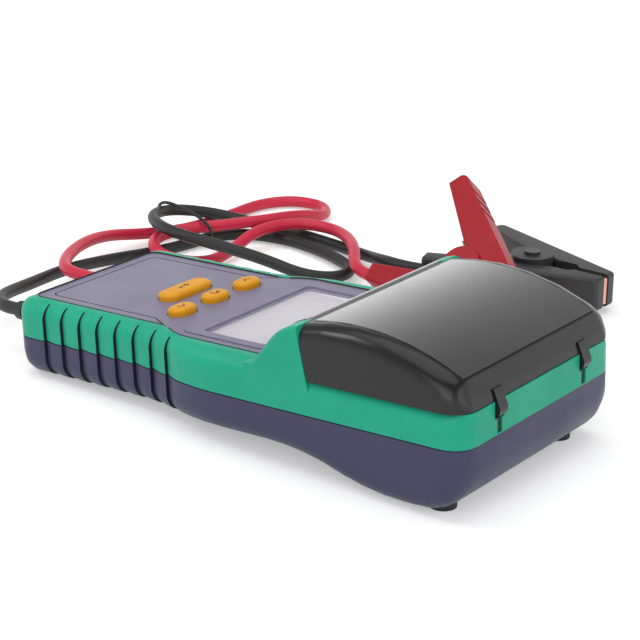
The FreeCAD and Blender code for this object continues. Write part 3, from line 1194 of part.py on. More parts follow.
# Leads: routes over the table in the finished part's frame, chosen by hand, loops tied in a loose hank
BLACK_POSE = Placement(Vector(3.5, 165.0, size("clamp_thick") / 2 + size("ear_proud") + size("rivet_head")),
                       Rotation(-2, 0, 0))
RED_POSE = Placement(Vector(-2.8, 123.0, 19.3), Rotation(-20.86, 13.76, 45.55))
BLACK_ROUTE = [(-152, -13, 14.4), (-161, 16, 10.5), (-169, 44, 7.5), (-170, 72, 4.2), (-162, 98, 3.2),
               (-158, 118, 3.2), (-157, 134, 3.2), (-145, 147, 3.3), (-124, 151, 3.3), (-104, 147, 3.8),
               (-86, 141, 4), (-72, 132.5, 4), (-71, 118, 4.5), (-83, 108.5, 6), (-104, 107, 9.5),
               (-126, 98, 14.5), (-146, 94, 16.5), (-166, 101, 16), (-180, 115, 14.5), (-182, 133, 12),
               (-170, 149, 8.5), (-150, 160, 3.8), (-126, 162, 3.2), (-100, 159, 3.2), (-76, 151, 5),
               (-60, 140, 9.5)]
RED_ROUTE = [(-152, 26, 16.2), (-166, 42, 15), (-178, 66, 13), (-184, 88, 9.5), (-181, 108, 5.5),
             (-174, 132, 3.2), (-172, 163, 3.2), (-173, 188, 3.2), (-163, 204, 3.2), (-145, 206, 3.2),
             (-133, 192, 3.6), (-134, 170, 9.4), (-141, 150, 10), (-152, 132, 9.8), (-163, 114, 9.8),
             (-163, 97, 10), (-152, 85, 9), (-138, 87, 6.5), (-131, 100, 4), (-133, 118, 4.4), (-134, 138, 9.8),
             (-126, 158, 10.2), (-108, 164, 9.4), (-90, 154, 10.4), (-76, 139, 11), (-66, 125, 9.8)]
TIE_ROUTE = [(-146.5, 121, 1.4), (-147.5, 122, 9), (-154, 123, 14.5), (-168, 124, 17.2), (-181, 125, 18.2),
             (-187, 126, 14), (-187, 126, 1.4)]
BEND_SHARE = 0.45
LEAD_STRAIGHT = 12.0
CLAMP_STRAIGHT = 5.0


def route_edges(points):
    """Straight runs joined by tangent arcs, each arc reaching a share of its shorter run; also the arc radii."""
    edges, radii = [], []
    here = points[0]
    for before, corner, after in zip(points, points[1:], points[2:]):
        back, on = before - corner, after - corner
        reach = BEND_SHARE * min(back.Length, on.Length)
        back.normalize()
        on.normalize()
        turn = math.pi - back.getAngle(on)
        if turn < 1e-4:
            continue
        radius = reach / math.tan(turn / 2)
        inward = back + on
        inward.normalize()
        start, end = corner + back * reach, corner + on * reach
        middle = corner + inward * (radius / math.cos(turn / 2) - radius)
        edges.append(Part.LineSegment(here, start).toShape())
        edges.append(Part.Arc(start, middle, end).toShape())
        radii.append(radius)
        here = end
    edges.append(Part.LineSegment(here, points[-1]).toShape())
    return edges, radii


def walk(edges, step):
    """Points along a chain of edges with their distance from its start."""
    points, run = [], 0.0
    for edge in edges:
        count = max(int(edge.Length / step), 1)
        chain = edge.discretize(count + 1)
        points += [(run + edge.Length * i / count, chain[i]) for i in range(count)]
        run += edge.Length
    return points


def least_gap(first, second, diameter, skip):
    """Least clear distance between two walked routes, leaving out neighbours closer along the route than skip."""
    return min(a.distanceToPoint(b) for s, a in first for t, b in second if abs(s - t) > skip) - diameter


def lead(label, sign, route, clamp_end, clamp_away, case_pose):
    """Lead from its terminal through the boot and over the hank to the socket of its clamp."""
    inside = Vector(CABLE_END + size("lead_insert"), sign * size("lead_y"), size("lead_z"))
    tip = Vector(CABLE_END - size("boot_length"), inside.y, inside.z)
    outside = Vector(tip.x - LEAD_STRAIGHT, inside.y, inside.z)
    points = [case_pose.multVec(p) for p in (inside, tip, outside)] + [Vector(*p) for p in route]
    points += [clamp_end + clamp_away * CLAMP_STRAIGHT, clamp_end - clamp_away * (size("lead_socket") - 1)]
    edges, radii = route_edges(points)
    solid = tube(edges, size("lead_diameter") / 2)
    keep(feature(label, solid), label, Placement())
    run = sum(edge.Length for edge in edges)
    print(label, "length", round(run, 1), "least bend", round(min(radii), 1), "volume share",
          round(solid.Volume / (run * math.pi * size("lead_diameter") ** 2 / 4), 4))
    return walk(edges, 1.5)


finish_upper_case()
finish_lower_case(foot_rods("foot_recess", size("run_gap")))
panel_pieces()
for key_name, place in KEYS:
    key(key_name + "_button", size("key_row"), place * size("key_pitch"), "key_length", "key_width")
key("enter_button", size("enter_row"), 0, "enter_length", "enter_width")
electronics()
printer_frame()
printer_works()
gear_train()
printer_cover()
fasteners()
doc.recompute()

# The case leans on its feet; the part's origin is the middle of its footprint on the table, without the leads.
lean = Placement(Vector(), Rotation(Vector(0, 1, 0), -LEAN))
extent = FreeCAD.BoundBox()
for obj in nodes.values():
    posed = obj.Shape.copy()
    posed.Placement = lean.multiply(posed.Placement)
    extent.add(posed.optimalBoundingBox(False))
shift = Vector(-extent.Center.x, -extent.Center.y, -extent.ZMin)
case_pose = Placement(shift, Rotation()).multiply(lean)
boot("black_boot", "-1")
boot("red_boot", "1")
black_end, black_away = clamp("black", BLACK_POSE)
red_end, red_away = clamp("red", RED_POSE)
black_walk = lead("black_lead", -1, BLACK_ROUTE, black_end, black_away, case_pose)
red_walk = lead("red_lead", 1, RED_ROUTE, red_end, red_away, case_pose)
tie_edges, tie_bends = route_edges([Vector(*p) for p in TIE_ROUTE])
keep(feature("lead_tie", tube(tie_edges, size("tie_diameter") / 2)), "lead_tie", Placement())
tie_walk = walk(tie_edges, 1.0)
apart = 3 * size("lead_diameter")
tie_clear = (size("lead_diameter") + size("tie_diameter")) / 2
print("gaps: black", round(least_gap(black_walk, black_walk, size("lead_diameter"), apart), 2),
      "red", round(least_gap(red_walk, red_walk, size("lead_diameter"), apart), 2),
      "between", round(least_gap(black_walk, red_walk, size("lead_diameter"), -1), 2),
      "tie", round(min(least_gap(tie_walk, w, tie_clear, -1) for w in (black_walk, red_walk)), 2))

for label, obj in nodes.items():
    pose = loose_pose.get(label, case_pose)
    obj.Placement = pose.multiply(obj.Placement)
doc.recompute()

for name, point in (("cover hinge", Vector(size("hinge_x"), 0, size("hinge_z"))),
                    ("platen", Vector(PLATEN[0], 0, PLATEN[1])), ("idler", Vector(IDLER[0], 0, IDLER[1])),
                    ("pinion", Vector(PINION[0], 0, PINION[1])), ("roll", Vector(size("roll_x"), 0, size("roll_z")))):
    print(name, "axis at", case_pose.multVec(point))
print("lean", round(LEAN, 4), "shift", shift, "case up", case_pose.Rotation.multVec(Vector(0, 0, 1)))

os.makedirs("parts", exist_ok=True)
for label, obj in nodes.items():
    faulty = [state for state in obj.State if state in ("Invalid", "Error")]
    if faulty or obj.Shape.isNull() or not obj.Shape.isValid():
        raise RuntimeError("%s is not a sound shape" % label)
    print(label, len(obj.Shape.Solids), "solid(s)", round(obj.Shape.Volume), "mm3")
    obj.Shape.exportStep("parts/%s.step" % label)
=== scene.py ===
"""Dresses the battery tester.

Nearly every CAD node gets a finish. Key legends, dark strips of painted shade in the slits under the
hinge tongues, a dark tube of painted shade in the gap round the panel, clamp springs, test leads and
their tie are new pieces; the springs, leads and tie stand for the CAD's own. A white studio and a
camera at the photograph's viewing angle go round them.
"""

from __future__ import annotations

import json
import logging
import math
from dataclasses import dataclass, field
from enum import Enum

import bmesh
import bpy
from mathutils import Matrix, Vector

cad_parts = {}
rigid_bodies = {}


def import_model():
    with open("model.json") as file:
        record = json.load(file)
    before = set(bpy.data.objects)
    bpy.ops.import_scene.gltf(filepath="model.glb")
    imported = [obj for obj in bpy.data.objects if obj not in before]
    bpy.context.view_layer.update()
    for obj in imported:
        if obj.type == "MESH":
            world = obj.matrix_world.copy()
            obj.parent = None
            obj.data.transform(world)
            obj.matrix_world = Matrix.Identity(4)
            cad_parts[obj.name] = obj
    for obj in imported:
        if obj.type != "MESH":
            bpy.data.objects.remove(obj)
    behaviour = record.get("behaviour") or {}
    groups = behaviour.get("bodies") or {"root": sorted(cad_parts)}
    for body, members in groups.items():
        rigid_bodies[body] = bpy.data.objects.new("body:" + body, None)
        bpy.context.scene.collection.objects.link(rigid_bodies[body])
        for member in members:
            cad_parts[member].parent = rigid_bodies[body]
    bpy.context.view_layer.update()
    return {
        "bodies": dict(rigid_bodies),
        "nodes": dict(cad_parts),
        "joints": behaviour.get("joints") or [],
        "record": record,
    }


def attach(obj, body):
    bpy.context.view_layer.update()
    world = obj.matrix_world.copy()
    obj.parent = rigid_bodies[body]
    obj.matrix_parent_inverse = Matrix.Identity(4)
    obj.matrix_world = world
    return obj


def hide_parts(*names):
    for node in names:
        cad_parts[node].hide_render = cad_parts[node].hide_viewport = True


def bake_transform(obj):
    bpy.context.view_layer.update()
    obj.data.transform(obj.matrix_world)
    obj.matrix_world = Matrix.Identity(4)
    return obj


LOG = logging.getLogger("battery_tester")
MM = 0.001
WELD = 0.01 * MM

VECTOR, VALUE, TINT = "NodeSocketVector", "NodeSocketFloat", "NodeSocketColor"

Colour = tuple[float, float, float]
Place = tuple[float, float, float]
Spot = tuple[float, float]
Socket = bpy.types.NodeSocket

HINGE_IN_CASE: Place = (108.8, 0.0, 9.2)


class Texture(Enum):
    """How a surface is worked."""

    MOULDED = "fine grain left by the mould"
    BRUSHED = "fine lines along one direction"
    PAINTED_LINE = "moulded, with its sunken line painted in"
    # Painted shade: the steep step faces between the grip's ribs are painted dark, for the shade in
    # those creases.
    RIBBED = "moulded, with dark creases between the ribs of the grip"


class Legend(Enum):
    """Marks printed on the keys."""

    UP = "chevron away from the leads"
    DOWN = "chevron towards the leads"
    RETURN = "hooked arrow"
    ENTER = "cornered arrow"


@dataclass(frozen=True)
class Sheet:
    """A node tree with short ways to add nodes and to link them."""

    tree: bpy.types.NodeTree

    @staticmethod
    def fill(node: bpy.types.Node, values: dict[str, object]) -> None:
        """Sets inputs of a node.

        Args:
            node: the node.
            values: value of each input by its name.
        """
        for name, value in values.items():
            node.inputs[name].default_value = value

    def node(self, kind: str, values: dict[str, object] | None = None) -> bpy.types.Node:
        """Adds a node.

        Args:
            kind: type of the node.
            values: value of each input to set, by its name.

        Returns:
            The node.
        """
        node = self.tree.nodes.new(kind)
        self.fill(node, values or {})
        return node

    def link(self, *pairs: tuple[Socket, Socket]) -> None:
        """Links sockets.

        Args:
            pairs: from which socket to which.
        """
        for source, target in pairs:
            self.tree.links.new(source, target)

    def maths(self, operation: str, *terms: Socket) -> Socket:
        """Works a number out from other numbers.

        Args:
            operation: what is worked out.
            terms: one or two numbers.

        Returns:
            The result.
        """
        node = self.node("ShaderNodeMath")
        node.operation = operation
        self.link(*zip(terms, node.inputs))
        return node.outputs["Value"]

    def vector_maths(self, operation: str, result: str, *terms: Socket) -> Socket:
        """Works something out from vectors.

        Args:
            operation: what is worked out.
            result: name of the output, Value or Vector.
            terms: one or two vectors.

        Returns:
            The result.
        """
        node = self.node("ShaderNodeVectorMath")
        node.operation = operation
        self.link(*zip(terms, node.inputs))
        return node.outputs[result]

    def mix(self, kind: str, factor: Socket, first: Socket, second: Socket) -> Socket:
        """Mixes two colours or two numbers.

        Args:
            kind: RGBA or FLOAT.
            factor: share of the second.
            first: the first.
            second: the second.

        Returns:
            The mix.
        """
        node = self.node("ShaderNodeMix")
        node.data_type = kind
        for name, source in (("Factor", factor), ("A", first), ("B", second)):
            self.link((source, node.inputs[name]))
        return node.outputs["Result"]


class SurfaceEffects:
    """Shader node groups that the finishes share."""

    grain_detail: float = 3.0
    grain_roughness: float = 0.6
    mottle_detail: float = 4.0
    mottle_range: Spot = (0.3, 0.7)
    brush_detail: float = 2.0

    def __init__(self) -> None:
        """Builds each group once."""
        self.grain = self._grain()
        self.mottle = self._mottle()
        self.brushing = self._brushing()
        self.sunken_line = self._sunken_line()
        self.rib_crease_shade = self._rib_crease_shade()

    @staticmethod
    def _group(
        name: str, inputs: dict[str, str], outputs: dict[str, str]
    ) -> tuple[Sheet, bpy.types.NodeOutputs, bpy.types.NodeInputs]:
        """Makes an empty group with named sockets.

        Args:
            name: name of the group.
            inputs: socket type of each input by its name.
            outputs: socket type of each output by its name.

        Returns:
            The group's sheet, what the group is given and what it has to make.
        """
        tree = bpy.data.node_groups.new(name, "ShaderNodeTree")
        for way, sockets in (("INPUT", inputs), ("OUTPUT", outputs)):
            for label, kind in sockets.items():
                tree.interface.new_socket(label, in_out=way, socket_type=kind)
        sheet = Sheet(tree)
        return sheet, sheet.node("NodeGroupInput").outputs, sheet.node("NodeGroupOutput").inputs

    def _grain(self) -> bpy.types.NodeTree:
        """Returns the group for the fine roughness of a moulded surface."""
        sheet, given, made = self._group(
            "moulded grain", {"Coordinate": VECTOR, "Scale": VALUE}, {"Height": VALUE}
        )
        noise = sheet.node(
            "ShaderNodeTexNoise", {"Detail": self.grain_detail, "Roughness": self.grain_roughness}
        )
        sheet.link(
            (given["Coordinate"], noise.inputs["Vector"]),
            (given["Scale"], noise.inputs["Scale"]),
            (noise.outputs["Fac"], made["Height"]),
        )
        return sheet.tree

    def _mottle(self) -> bpy.types.NodeTree:
        """Returns the group for the faint clouding of a colour and its gloss."""
        wanted = {"Coordinate": VECTOR, "Scale": VALUE}
        wanted |= {"Colour": TINT, "Shade": TINT, "Smooth": VALUE, "Rough": VALUE}
        clouded = {"Colour": TINT, "Roughness": VALUE}
        sheet, given, made = self._group("colour mottle", wanted, clouded)
        noise = sheet.node("ShaderNodeTexNoise", {"Detail": self.mottle_detail})
        low, high = self.mottle_range
        spread = sheet.node("ShaderNodeMapRange", {"From Min": low, "From Max": high})
        cloud = spread.outputs["Result"]
        sheet.link(
            (given["Coordinate"], noise.inputs["Vector"]),
            (given["Scale"], noise.inputs["Scale"]),
            (noise.outputs["Fac"], spread.inputs["Value"]),
            (sheet.mix("RGBA", cloud, given["Colour"], given["Shade"]), made["Colour"]),
            (sheet.mix("FLOAT", cloud, given["Smooth"], given["Rough"]), made["Roughness"]),
        )
        return sheet.tree

    def _brushing(self) -> bpy.types.NodeTree:
        """Returns the group for fine lines along one direction."""
        sheet, given, made = self._group(
            "brushed lines", {"Coordinate": VECTOR, "Stretch": VECTOR}, {"Height": VALUE}
        )
        noise = sheet.node("ShaderNodeTexNoise", {"Scale": 1.0, "Detail": self.brush_detail})
        stretched = sheet.vector_maths("MULTIPLY", "Vector", given["Coordinate"], given["Stretch"])
        sheet.link((stretched, noise.inputs["Vector"]), (noise.outputs["Fac"], made["Height"]))
        return sheet.tree

    def _sunken_line(self) -> bpy.types.NodeTree:
        """Returns the group for dark paint below a level of a flat panel."""
        wanted = {"Coordinate": VECTOR, "Up": VECTOR, "Level": VALUE, "Colour": TINT, "Paint": TINT}
        sheet, given, made = self._group("sunken line", wanted, {"Colour": TINT})
        height = sheet.vector_maths("DOT_PRODUCT", "Value", given["Coordinate"], given["Up"])
        below = sheet.maths("LESS_THAN", height, given["Level"])
        sheet.link((sheet.mix("RGBA", below, given["Colour"], given["Paint"]), made["Colour"]))
        return sheet.tree

    def _rib_crease_shade(self) -> bpy.types.NodeTree:
        """Returns the group for painted shade on the steep faces where one rib of the grip steps down
        to the next.
        """
        wanted = {"Coordinate": VECTOR, "Normal": VECTOR, "Along": VECTOR}
        wanted |= {"Start": VALUE, "End": VALUE, "Steep": VALUE, "Colour": TINT, "Paint": TINT}
        sheet, given, made = self._group("rib crease", wanted, {"Colour": TINT})
        run = sheet.vector_maths("DOT_PRODUCT", "Value", given["Coordinate"], given["Along"])
        facing = sheet.vector_maths("DOT_PRODUCT", "Value", given["Normal"], given["Along"])
        crease_shade_mask = sheet.maths("GREATER_THAN", sheet.maths("ABSOLUTE", facing), given["Steep"])
        for test, limit in (("GREATER_THAN", "Start"), ("LESS_THAN", "End")):
            crease_shade_mask = sheet.maths("MULTIPLY", crease_shade_mask, sheet.maths(test, run, given[limit]))
        sheet.link((sheet.mix("RGBA", crease_shade_mask, given["Colour"], given["Paint"]), made["Colour"]))
        return sheet.tree


@dataclass(frozen=True)
class Finish:
    """One finish: two close tones, a range of gloss and how the surface is worked."""

    name: str
    colour: Colour
    shade: Colour
    smooth: float
    rough: float
    texture: Texture = Texture.MOULDED
    metallic: float = 0.0
    coat: float = 0.0
    coat_rough: float = 0.08
    alpha: float = 1.0
    specular: float = 0.5
    mottle_scale: float = 45.0
    grain_scale: float = 1400.0
    grain_depth: float = 0.03 * MM
    grain_strength: float = 0.35
    stretch: Place = (3000.0, 60.0, 3000.0)
    # Dark colour for the painted-in sunken line of the panel and for the painted shade on the grip's
    # rib steps.
    paint: Colour = (0.012, 0.011, 0.02)
    up: Place = (0.0, 0.0, 1.0)
    level: float = 0.0
    # along, ribs and steep place the painted shade on the steep step faces of the grip's ribs.
    along: Place = (1.0, 0.0, 0.0)
    ribs: Spot = (0.0, 0.0)
    steep: float = 0.6

    def material(self, effects: SurfaceEffects) -> bpy.types.Material:
        """Builds the material of this finish.

        Args:
            effects: the shared node groups.

        Returns:
            The finished material.
        """
        material = bpy.data.materials.new(self.name)
        material.use_nodes = True
        sheet = Sheet(material.node_tree)
        shader = sheet.tree.nodes["Principled BSDF"]
        sheet.fill(
            shader,
            {
                "Metallic": self.metallic,
                "Coat Weight": self.coat,
                "Coat Roughness": self.coat_rough,
                "Alpha": self.alpha,
                "Specular IOR Level": self.specular,
            },
        )
        coordinates = sheet.node("ShaderNodeTexCoord").outputs
        place, paint = coordinates["Object"], (*self.paint, 1.0)
        mottle = self._placed(
            sheet,
            effects.mottle,
            place,
            {
                "Scale": self.mottle_scale,
                "Colour": (*self.colour, 1.0),
                "Shade": (*self.shade, 1.0),
                "Smooth": self.smooth,
                "Rough": self.rough,
            },
        )
        colour = mottle.outputs["Colour"]
        if self.texture is Texture.PAINTED_LINE:
            settings = {"Up": self.up, "Level": self.level, "Paint": paint}
            line = self._placed(sheet, effects.sunken_line, place, settings)
            sheet.link((colour, line.inputs["Colour"]))
            colour = line.outputs["Colour"]
        # Painted shade: faces steep across the case's length, within the ribbed stretch, are painted
        # dark for the shade between ribs.
        if self.texture is Texture.RIBBED:
            start, end = self.ribs
            settings = {"Along": self.along, "Start": start, "End": end}
            settings |= {"Steep": self.steep, "Paint": paint}
            crease_shade = self._placed(sheet, effects.rib_crease_shade, place, settings)
            sheet.link((coordinates["Normal"], crease_shade.inputs["Normal"]))
            sheet.link((colour, crease_shade.inputs["Colour"]))
            colour = crease_shade.outputs["Colour"]
        if self.texture is Texture.BRUSHED:
            worked = self._placed(sheet, effects.brushing, place, {"Stretch": self.stretch})
        else:
            worked = self._placed(sheet, effects.grain, place, {"Scale": self.grain_scale})
        bump = sheet.node(
            "ShaderNodeBump", {"Strength": self.grain_strength, "Distance": self.grain_depth}
        )
        sheet.link(
            (worked.outputs["Height"], bump.inputs["Height"]),
            (bump.outputs["Normal"], shader.inputs["Normal"]),
            (colour, shader.inputs["Base Color"]),
            (mottle.outputs["Roughness"], shader.inputs["Roughness"]),
        )
        return material

    @staticmethod
    def _placed(
        sheet: Sheet, group: bpy.types.NodeTree, place: Socket, values: dict[str, object]
    ) -> bpy.types.Node:
        """Puts a shared group into a material.

        Args:
            sheet: the material's sheet.
            group: the shared group.
            place: socket with the coordinates on the piece.
            values: value of each of the group's inputs to set, by its name.

        Returns:
            The group's node, with its coordinates linked.
        """
        node = sheet.node("ShaderNodeGroup")
        node.node_tree = group
        sheet.fill(node, values)
        sheet.link((place, node.inputs["Coordinate"]))
        return node


@dataclass(frozen=True)
class SoftShading:
    """Shading that runs smoothly over gentle edges and breaks at sharp ones."""

    sharp_angle: float = math.radians(32.0)

    def group(self) -> bpy.types.NodeTree:
        """Builds the node group for the smoothing modifier.

        Returns:
            The group, which changes no point of a mesh, only how its edges are shaded.
        """
        tree = bpy.data.node_groups.new("soft shading", "GeometryNodeTree")
        for way in ("INPUT", "OUTPUT"):
            tree.interface.new_socket("Mesh", in_out=way, socket_type="NodeSocketGeometry")
        sheet = Sheet(tree)
        given, made = sheet.node("NodeGroupInput"), sheet.node("NodeGroupOutput")
        joined = sheet.node("GeometryNodeMergeByDistance", {"Distance": WELD})
        angle = sheet.node("GeometryNodeInputMeshEdgeAngle")
        sharp = sheet.node("FunctionNodeCompare", {"B": self.sharp_angle})
        shading = sheet.node("GeometryNodeSetMeshNormal")
        sheet.link(
            (given.outputs["Mesh"], joined.inputs["Geometry"]),
            (joined.outputs["Geometry"], shading.inputs["Mesh"]),
            (angle.outputs["Unsigned Angle"], sharp.inputs["A"]),
            (sharp.outputs["Result"], shading.inputs["Edge Sharpness"]),
            (shading.outputs["Mesh"], made.inputs["Mesh"]),
        )
        return tree


def joint_facts(frame: dict, name: str) -> dict:
    """Looks a joint up.

    Args:
        name: name of the joint.

    Returns:
        What the record says of it.
    """
    return next(joint for joint in frame["record"]["behaviour"]["joints"] if joint["name"] == name)


@dataclass
class CaseFrame:
    """The case's own directions and level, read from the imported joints."""

    up: Vector
    along: Vector
    origin: Vector

    @classmethod
    def from_frame(cls, frame: dict) -> CaseFrame:
        """Works the case's frame out from a key's travel and the cover's hinge.


        Returns:
            The case's frame.
        """
        hinge_in_case = Vector(HINGE_IN_CASE) * MM
        up = -Vector(joint_facts(frame, "enter_press")["axis"]).normalized()
        along = Vector((up.z, 0.0, -up.x))
        hinge = Vector(joint_facts(frame, "cover_hinge")["pos_m"])
        return cls(up, along, hinge - along * hinge_in_case.x - up * hinge_in_case.z)

    def place(self, x: float, y: float, z: float) -> Vector:
        """Returns the part's point, in metres, for a point of the case in millimetres."""
        return self.origin + (self.along * x + Vector((0.0, y, 0.0)) + self.up * z) * MM

    def run(self, x: float) -> float:
        """Returns how far along the case's length a place of the case lies, in metres."""
        return self.place(x, 0.0, 0.0).dot(self.along)

    def level(self, z: float) -> float:
        """Returns how far along the case's up direction a height of the case lies, in metres."""
        return self.place(0.0, 0.0, z).dot(self.up)


@dataclass
class Workshop:
    """What every sub-assembly needs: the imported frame, the case's frame and the shared effects."""

    frame: dict
    case: CaseFrame
    effects: SurfaceEffects
    shading: bpy.types.NodeTree
    materials: dict[Finish, bpy.types.Material] = field(default_factory=dict)

    def material(self, finish: Finish) -> bpy.types.Material:
        """Returns the material of a finish, built on its first use."""
        if finish not in self.materials:
            self.materials[finish] = finish.material(self.effects)
        return self.materials[finish]

    def dress(self, finish: Finish, *nodes: str) -> None:
        """Gives CAD nodes a finish.

        Args:
            finish: the finish.
            nodes: names of the nodes.
        """
        for name in nodes:
            node = self.frame["nodes"][name]
            for slot in node.material_slots:
                slot.material = self.material(finish)
            node.modifiers.new("soft shading", "NODES").node_group = self.shading
            LOG.info("%s: %s", name, finish.name)

    def add(self, piece: bpy.types.Object, finish: Finish, body: str, slot: str) -> bpy.types.Object:
        """Puts a new piece into the scene.

        Args:
            piece: the new object, already in place.
            finish: its finish.
            body: the CAD body that it rides on.
            slot: not used.

        Returns:
            The same piece.
        """
        bpy.context.scene.collection.objects.link(piece)
        piece.data.materials.append(self.material(finish))
        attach(piece, body)
        LOG.info("%s: new piece on %s, %s", piece.name, body, finish.name)
        return piece


def plate_mesh(name: str, outlines: list[list[Spot]], thick: float) -> bpy.types.Mesh:
    """Makes closed flat plates from outlines, all in one mesh.

    Args:
        name: name of the mesh.
        outlines: corner points of each plate, anticlockwise from above.
        thick: thickness upwards from zero.

    Returns:
        The mesh.
    """
    points: list[Place] = []
    faces: list[list[int]] = []
    for outline in outlines:
        base, count = len(points), len(outline)
        points += [(x, y, 0.0) for x, y in outline]
        points += [(x, y, thick) for x, y in outline]
        faces.append([base + i for i in reversed(range(count))])
        faces.append([base + count + i for i in range(count)])
        for i in range(count):
            j = (i + 1) % count
            faces.append([base + i, base + j, base + count + j, base + count + i])
    mesh = bpy.data.meshes.new(name)
    mesh.from_pydata(points, [], faces)
    mesh.validate()
    return mesh


def stroke_outline(line: list[Spot], width: float, least_mitre: float = 0.3) -> list[Spot]:
    """Widens a line of points into the outline of a pen stroke with mitred corners.

    Args:
        line: points of the line.
        width: width of the stroke.
        least_mitre: cosine at which the mitre of a sharp corner stops growing.

    Returns:
        The outline, anticlockwise.
    """
    spots = [Vector(p) for p in line]
    left: list[Spot] = []
    right: list[Spot] = []
    for i, spot in enumerate(spots):
        before = (spot - spots[i - 1]).normalized() if i else None
        after = (spots[i + 1] - spot).normalized() if i + 1 < len(spots) else None
        way = ((before or after) + (after or before)).normalized()
        side = Vector((-way.y, way.x))
        reach = width / 2 / max(way.dot(after or before), least_mitre)
        left.append(tuple(spot + side * reach))
        right.append(tuple(spot - side * reach))
    return right + left[::-1]


def wire_mesh(name: str, points: list[Vector], radius: float, sides: int = 12) -> bpy.types.Mesh:
    """Makes a closed round wire along a line of points.

    Args:
        name: name of the mesh.
        points: the wire's centreline.
        radius: radius of the wire.
        sides: flats round the wire.

    Returns:
        The mesh, shaded smooth.
    """
    ways = [(after - before).normalized() for before, after in zip(points, points[1:])]
    ways.append(ways[-1])
    side = ways[0].orthogonal().normalized()
    corners: list[Vector] = []
    for i, (point, way) in enumerate(zip(points, ways)):
        way = (way + ways[max(i - 1, 0)]).normalized()
        side = (side - way * side.dot(way)).normalized()
        for step in range(sides):
            corners.append(point + Matrix.Rotation(math.tau * step / sides, 3, way) @ side * radius)
    faces = [list(reversed(range(sides))), [len(corners) - sides + step for step in range(sides)]]
    for ring in range(len(points) - 1):
        for step in range(sides):
            here, beside = ring * sides + step, ring * sides + (step + 1) % sides
            faces.append([here, beside, beside + sides, here + sides])
    mesh = bpy.data.meshes.new(name)
    mesh.from_pydata(corners, [], faces)
    mesh.validate()
    mesh.shade_smooth()
    return mesh


@dataclass
class CaseShells:
    """Two-tone case: ribbed shells, the screws that hold them and the feet."""

    ribs_start: float = -96.0
    ribs_end: float = -20.0
    green: tuple[Colour, Colour] = ((0.014, 0.4, 0.245), (0.012, 0.36, 0.22))
    navy: tuple[Colour, Colour] = ((0.058, 0.057, 0.115), (0.052, 0.051, 0.104))
    screw: Finish = Finish(
        "screw steel",
        (0.55, 0.55, 0.57),
        (0.46, 0.46, 0.48),
        0.28,
        0.4,
        Texture.BRUSHED,
        metallic=1.0,
    )
    rubber: Finish = Finish("foot rubber", (0.012, 0.012, 0.013), (0.018, 0.018, 0.019), 0.6, 0.75)

    def build(self, shop: Workshop) -> None:
        """Dresses the shells, screws and feet."""
        shop.dress(self._shell(shop, "case green", self.green), "upper_case")
        shop.dress(self._shell(shop, "case navy", self.navy), "lower_case")
        shop.dress(self.screw, "case_screws", "hinge_pins")
        shop.dress(self.rubber, "rubber_feet")

    def _shell(self, shop: Workshop, name: str, tones: tuple[Colour, Colour]) -> Finish:
        """Works out the finish of one shell.

        Args:
            shop: the workshop.
            name: name of the finish.
            tones: its two close tones.

        Returns:
            The finish, with painted shade in the creases of the grip's ribs.
        """
        return Finish(
            name,
            *tones,
            smooth=0.36,
            rough=0.45,
            texture=Texture.RIBBED,
            specular=0.22,
            along=tuple(shop.case.along),
            ribs=(shop.case.run(self.ribs_start), shop.case.run(self.ribs_end)),
        )


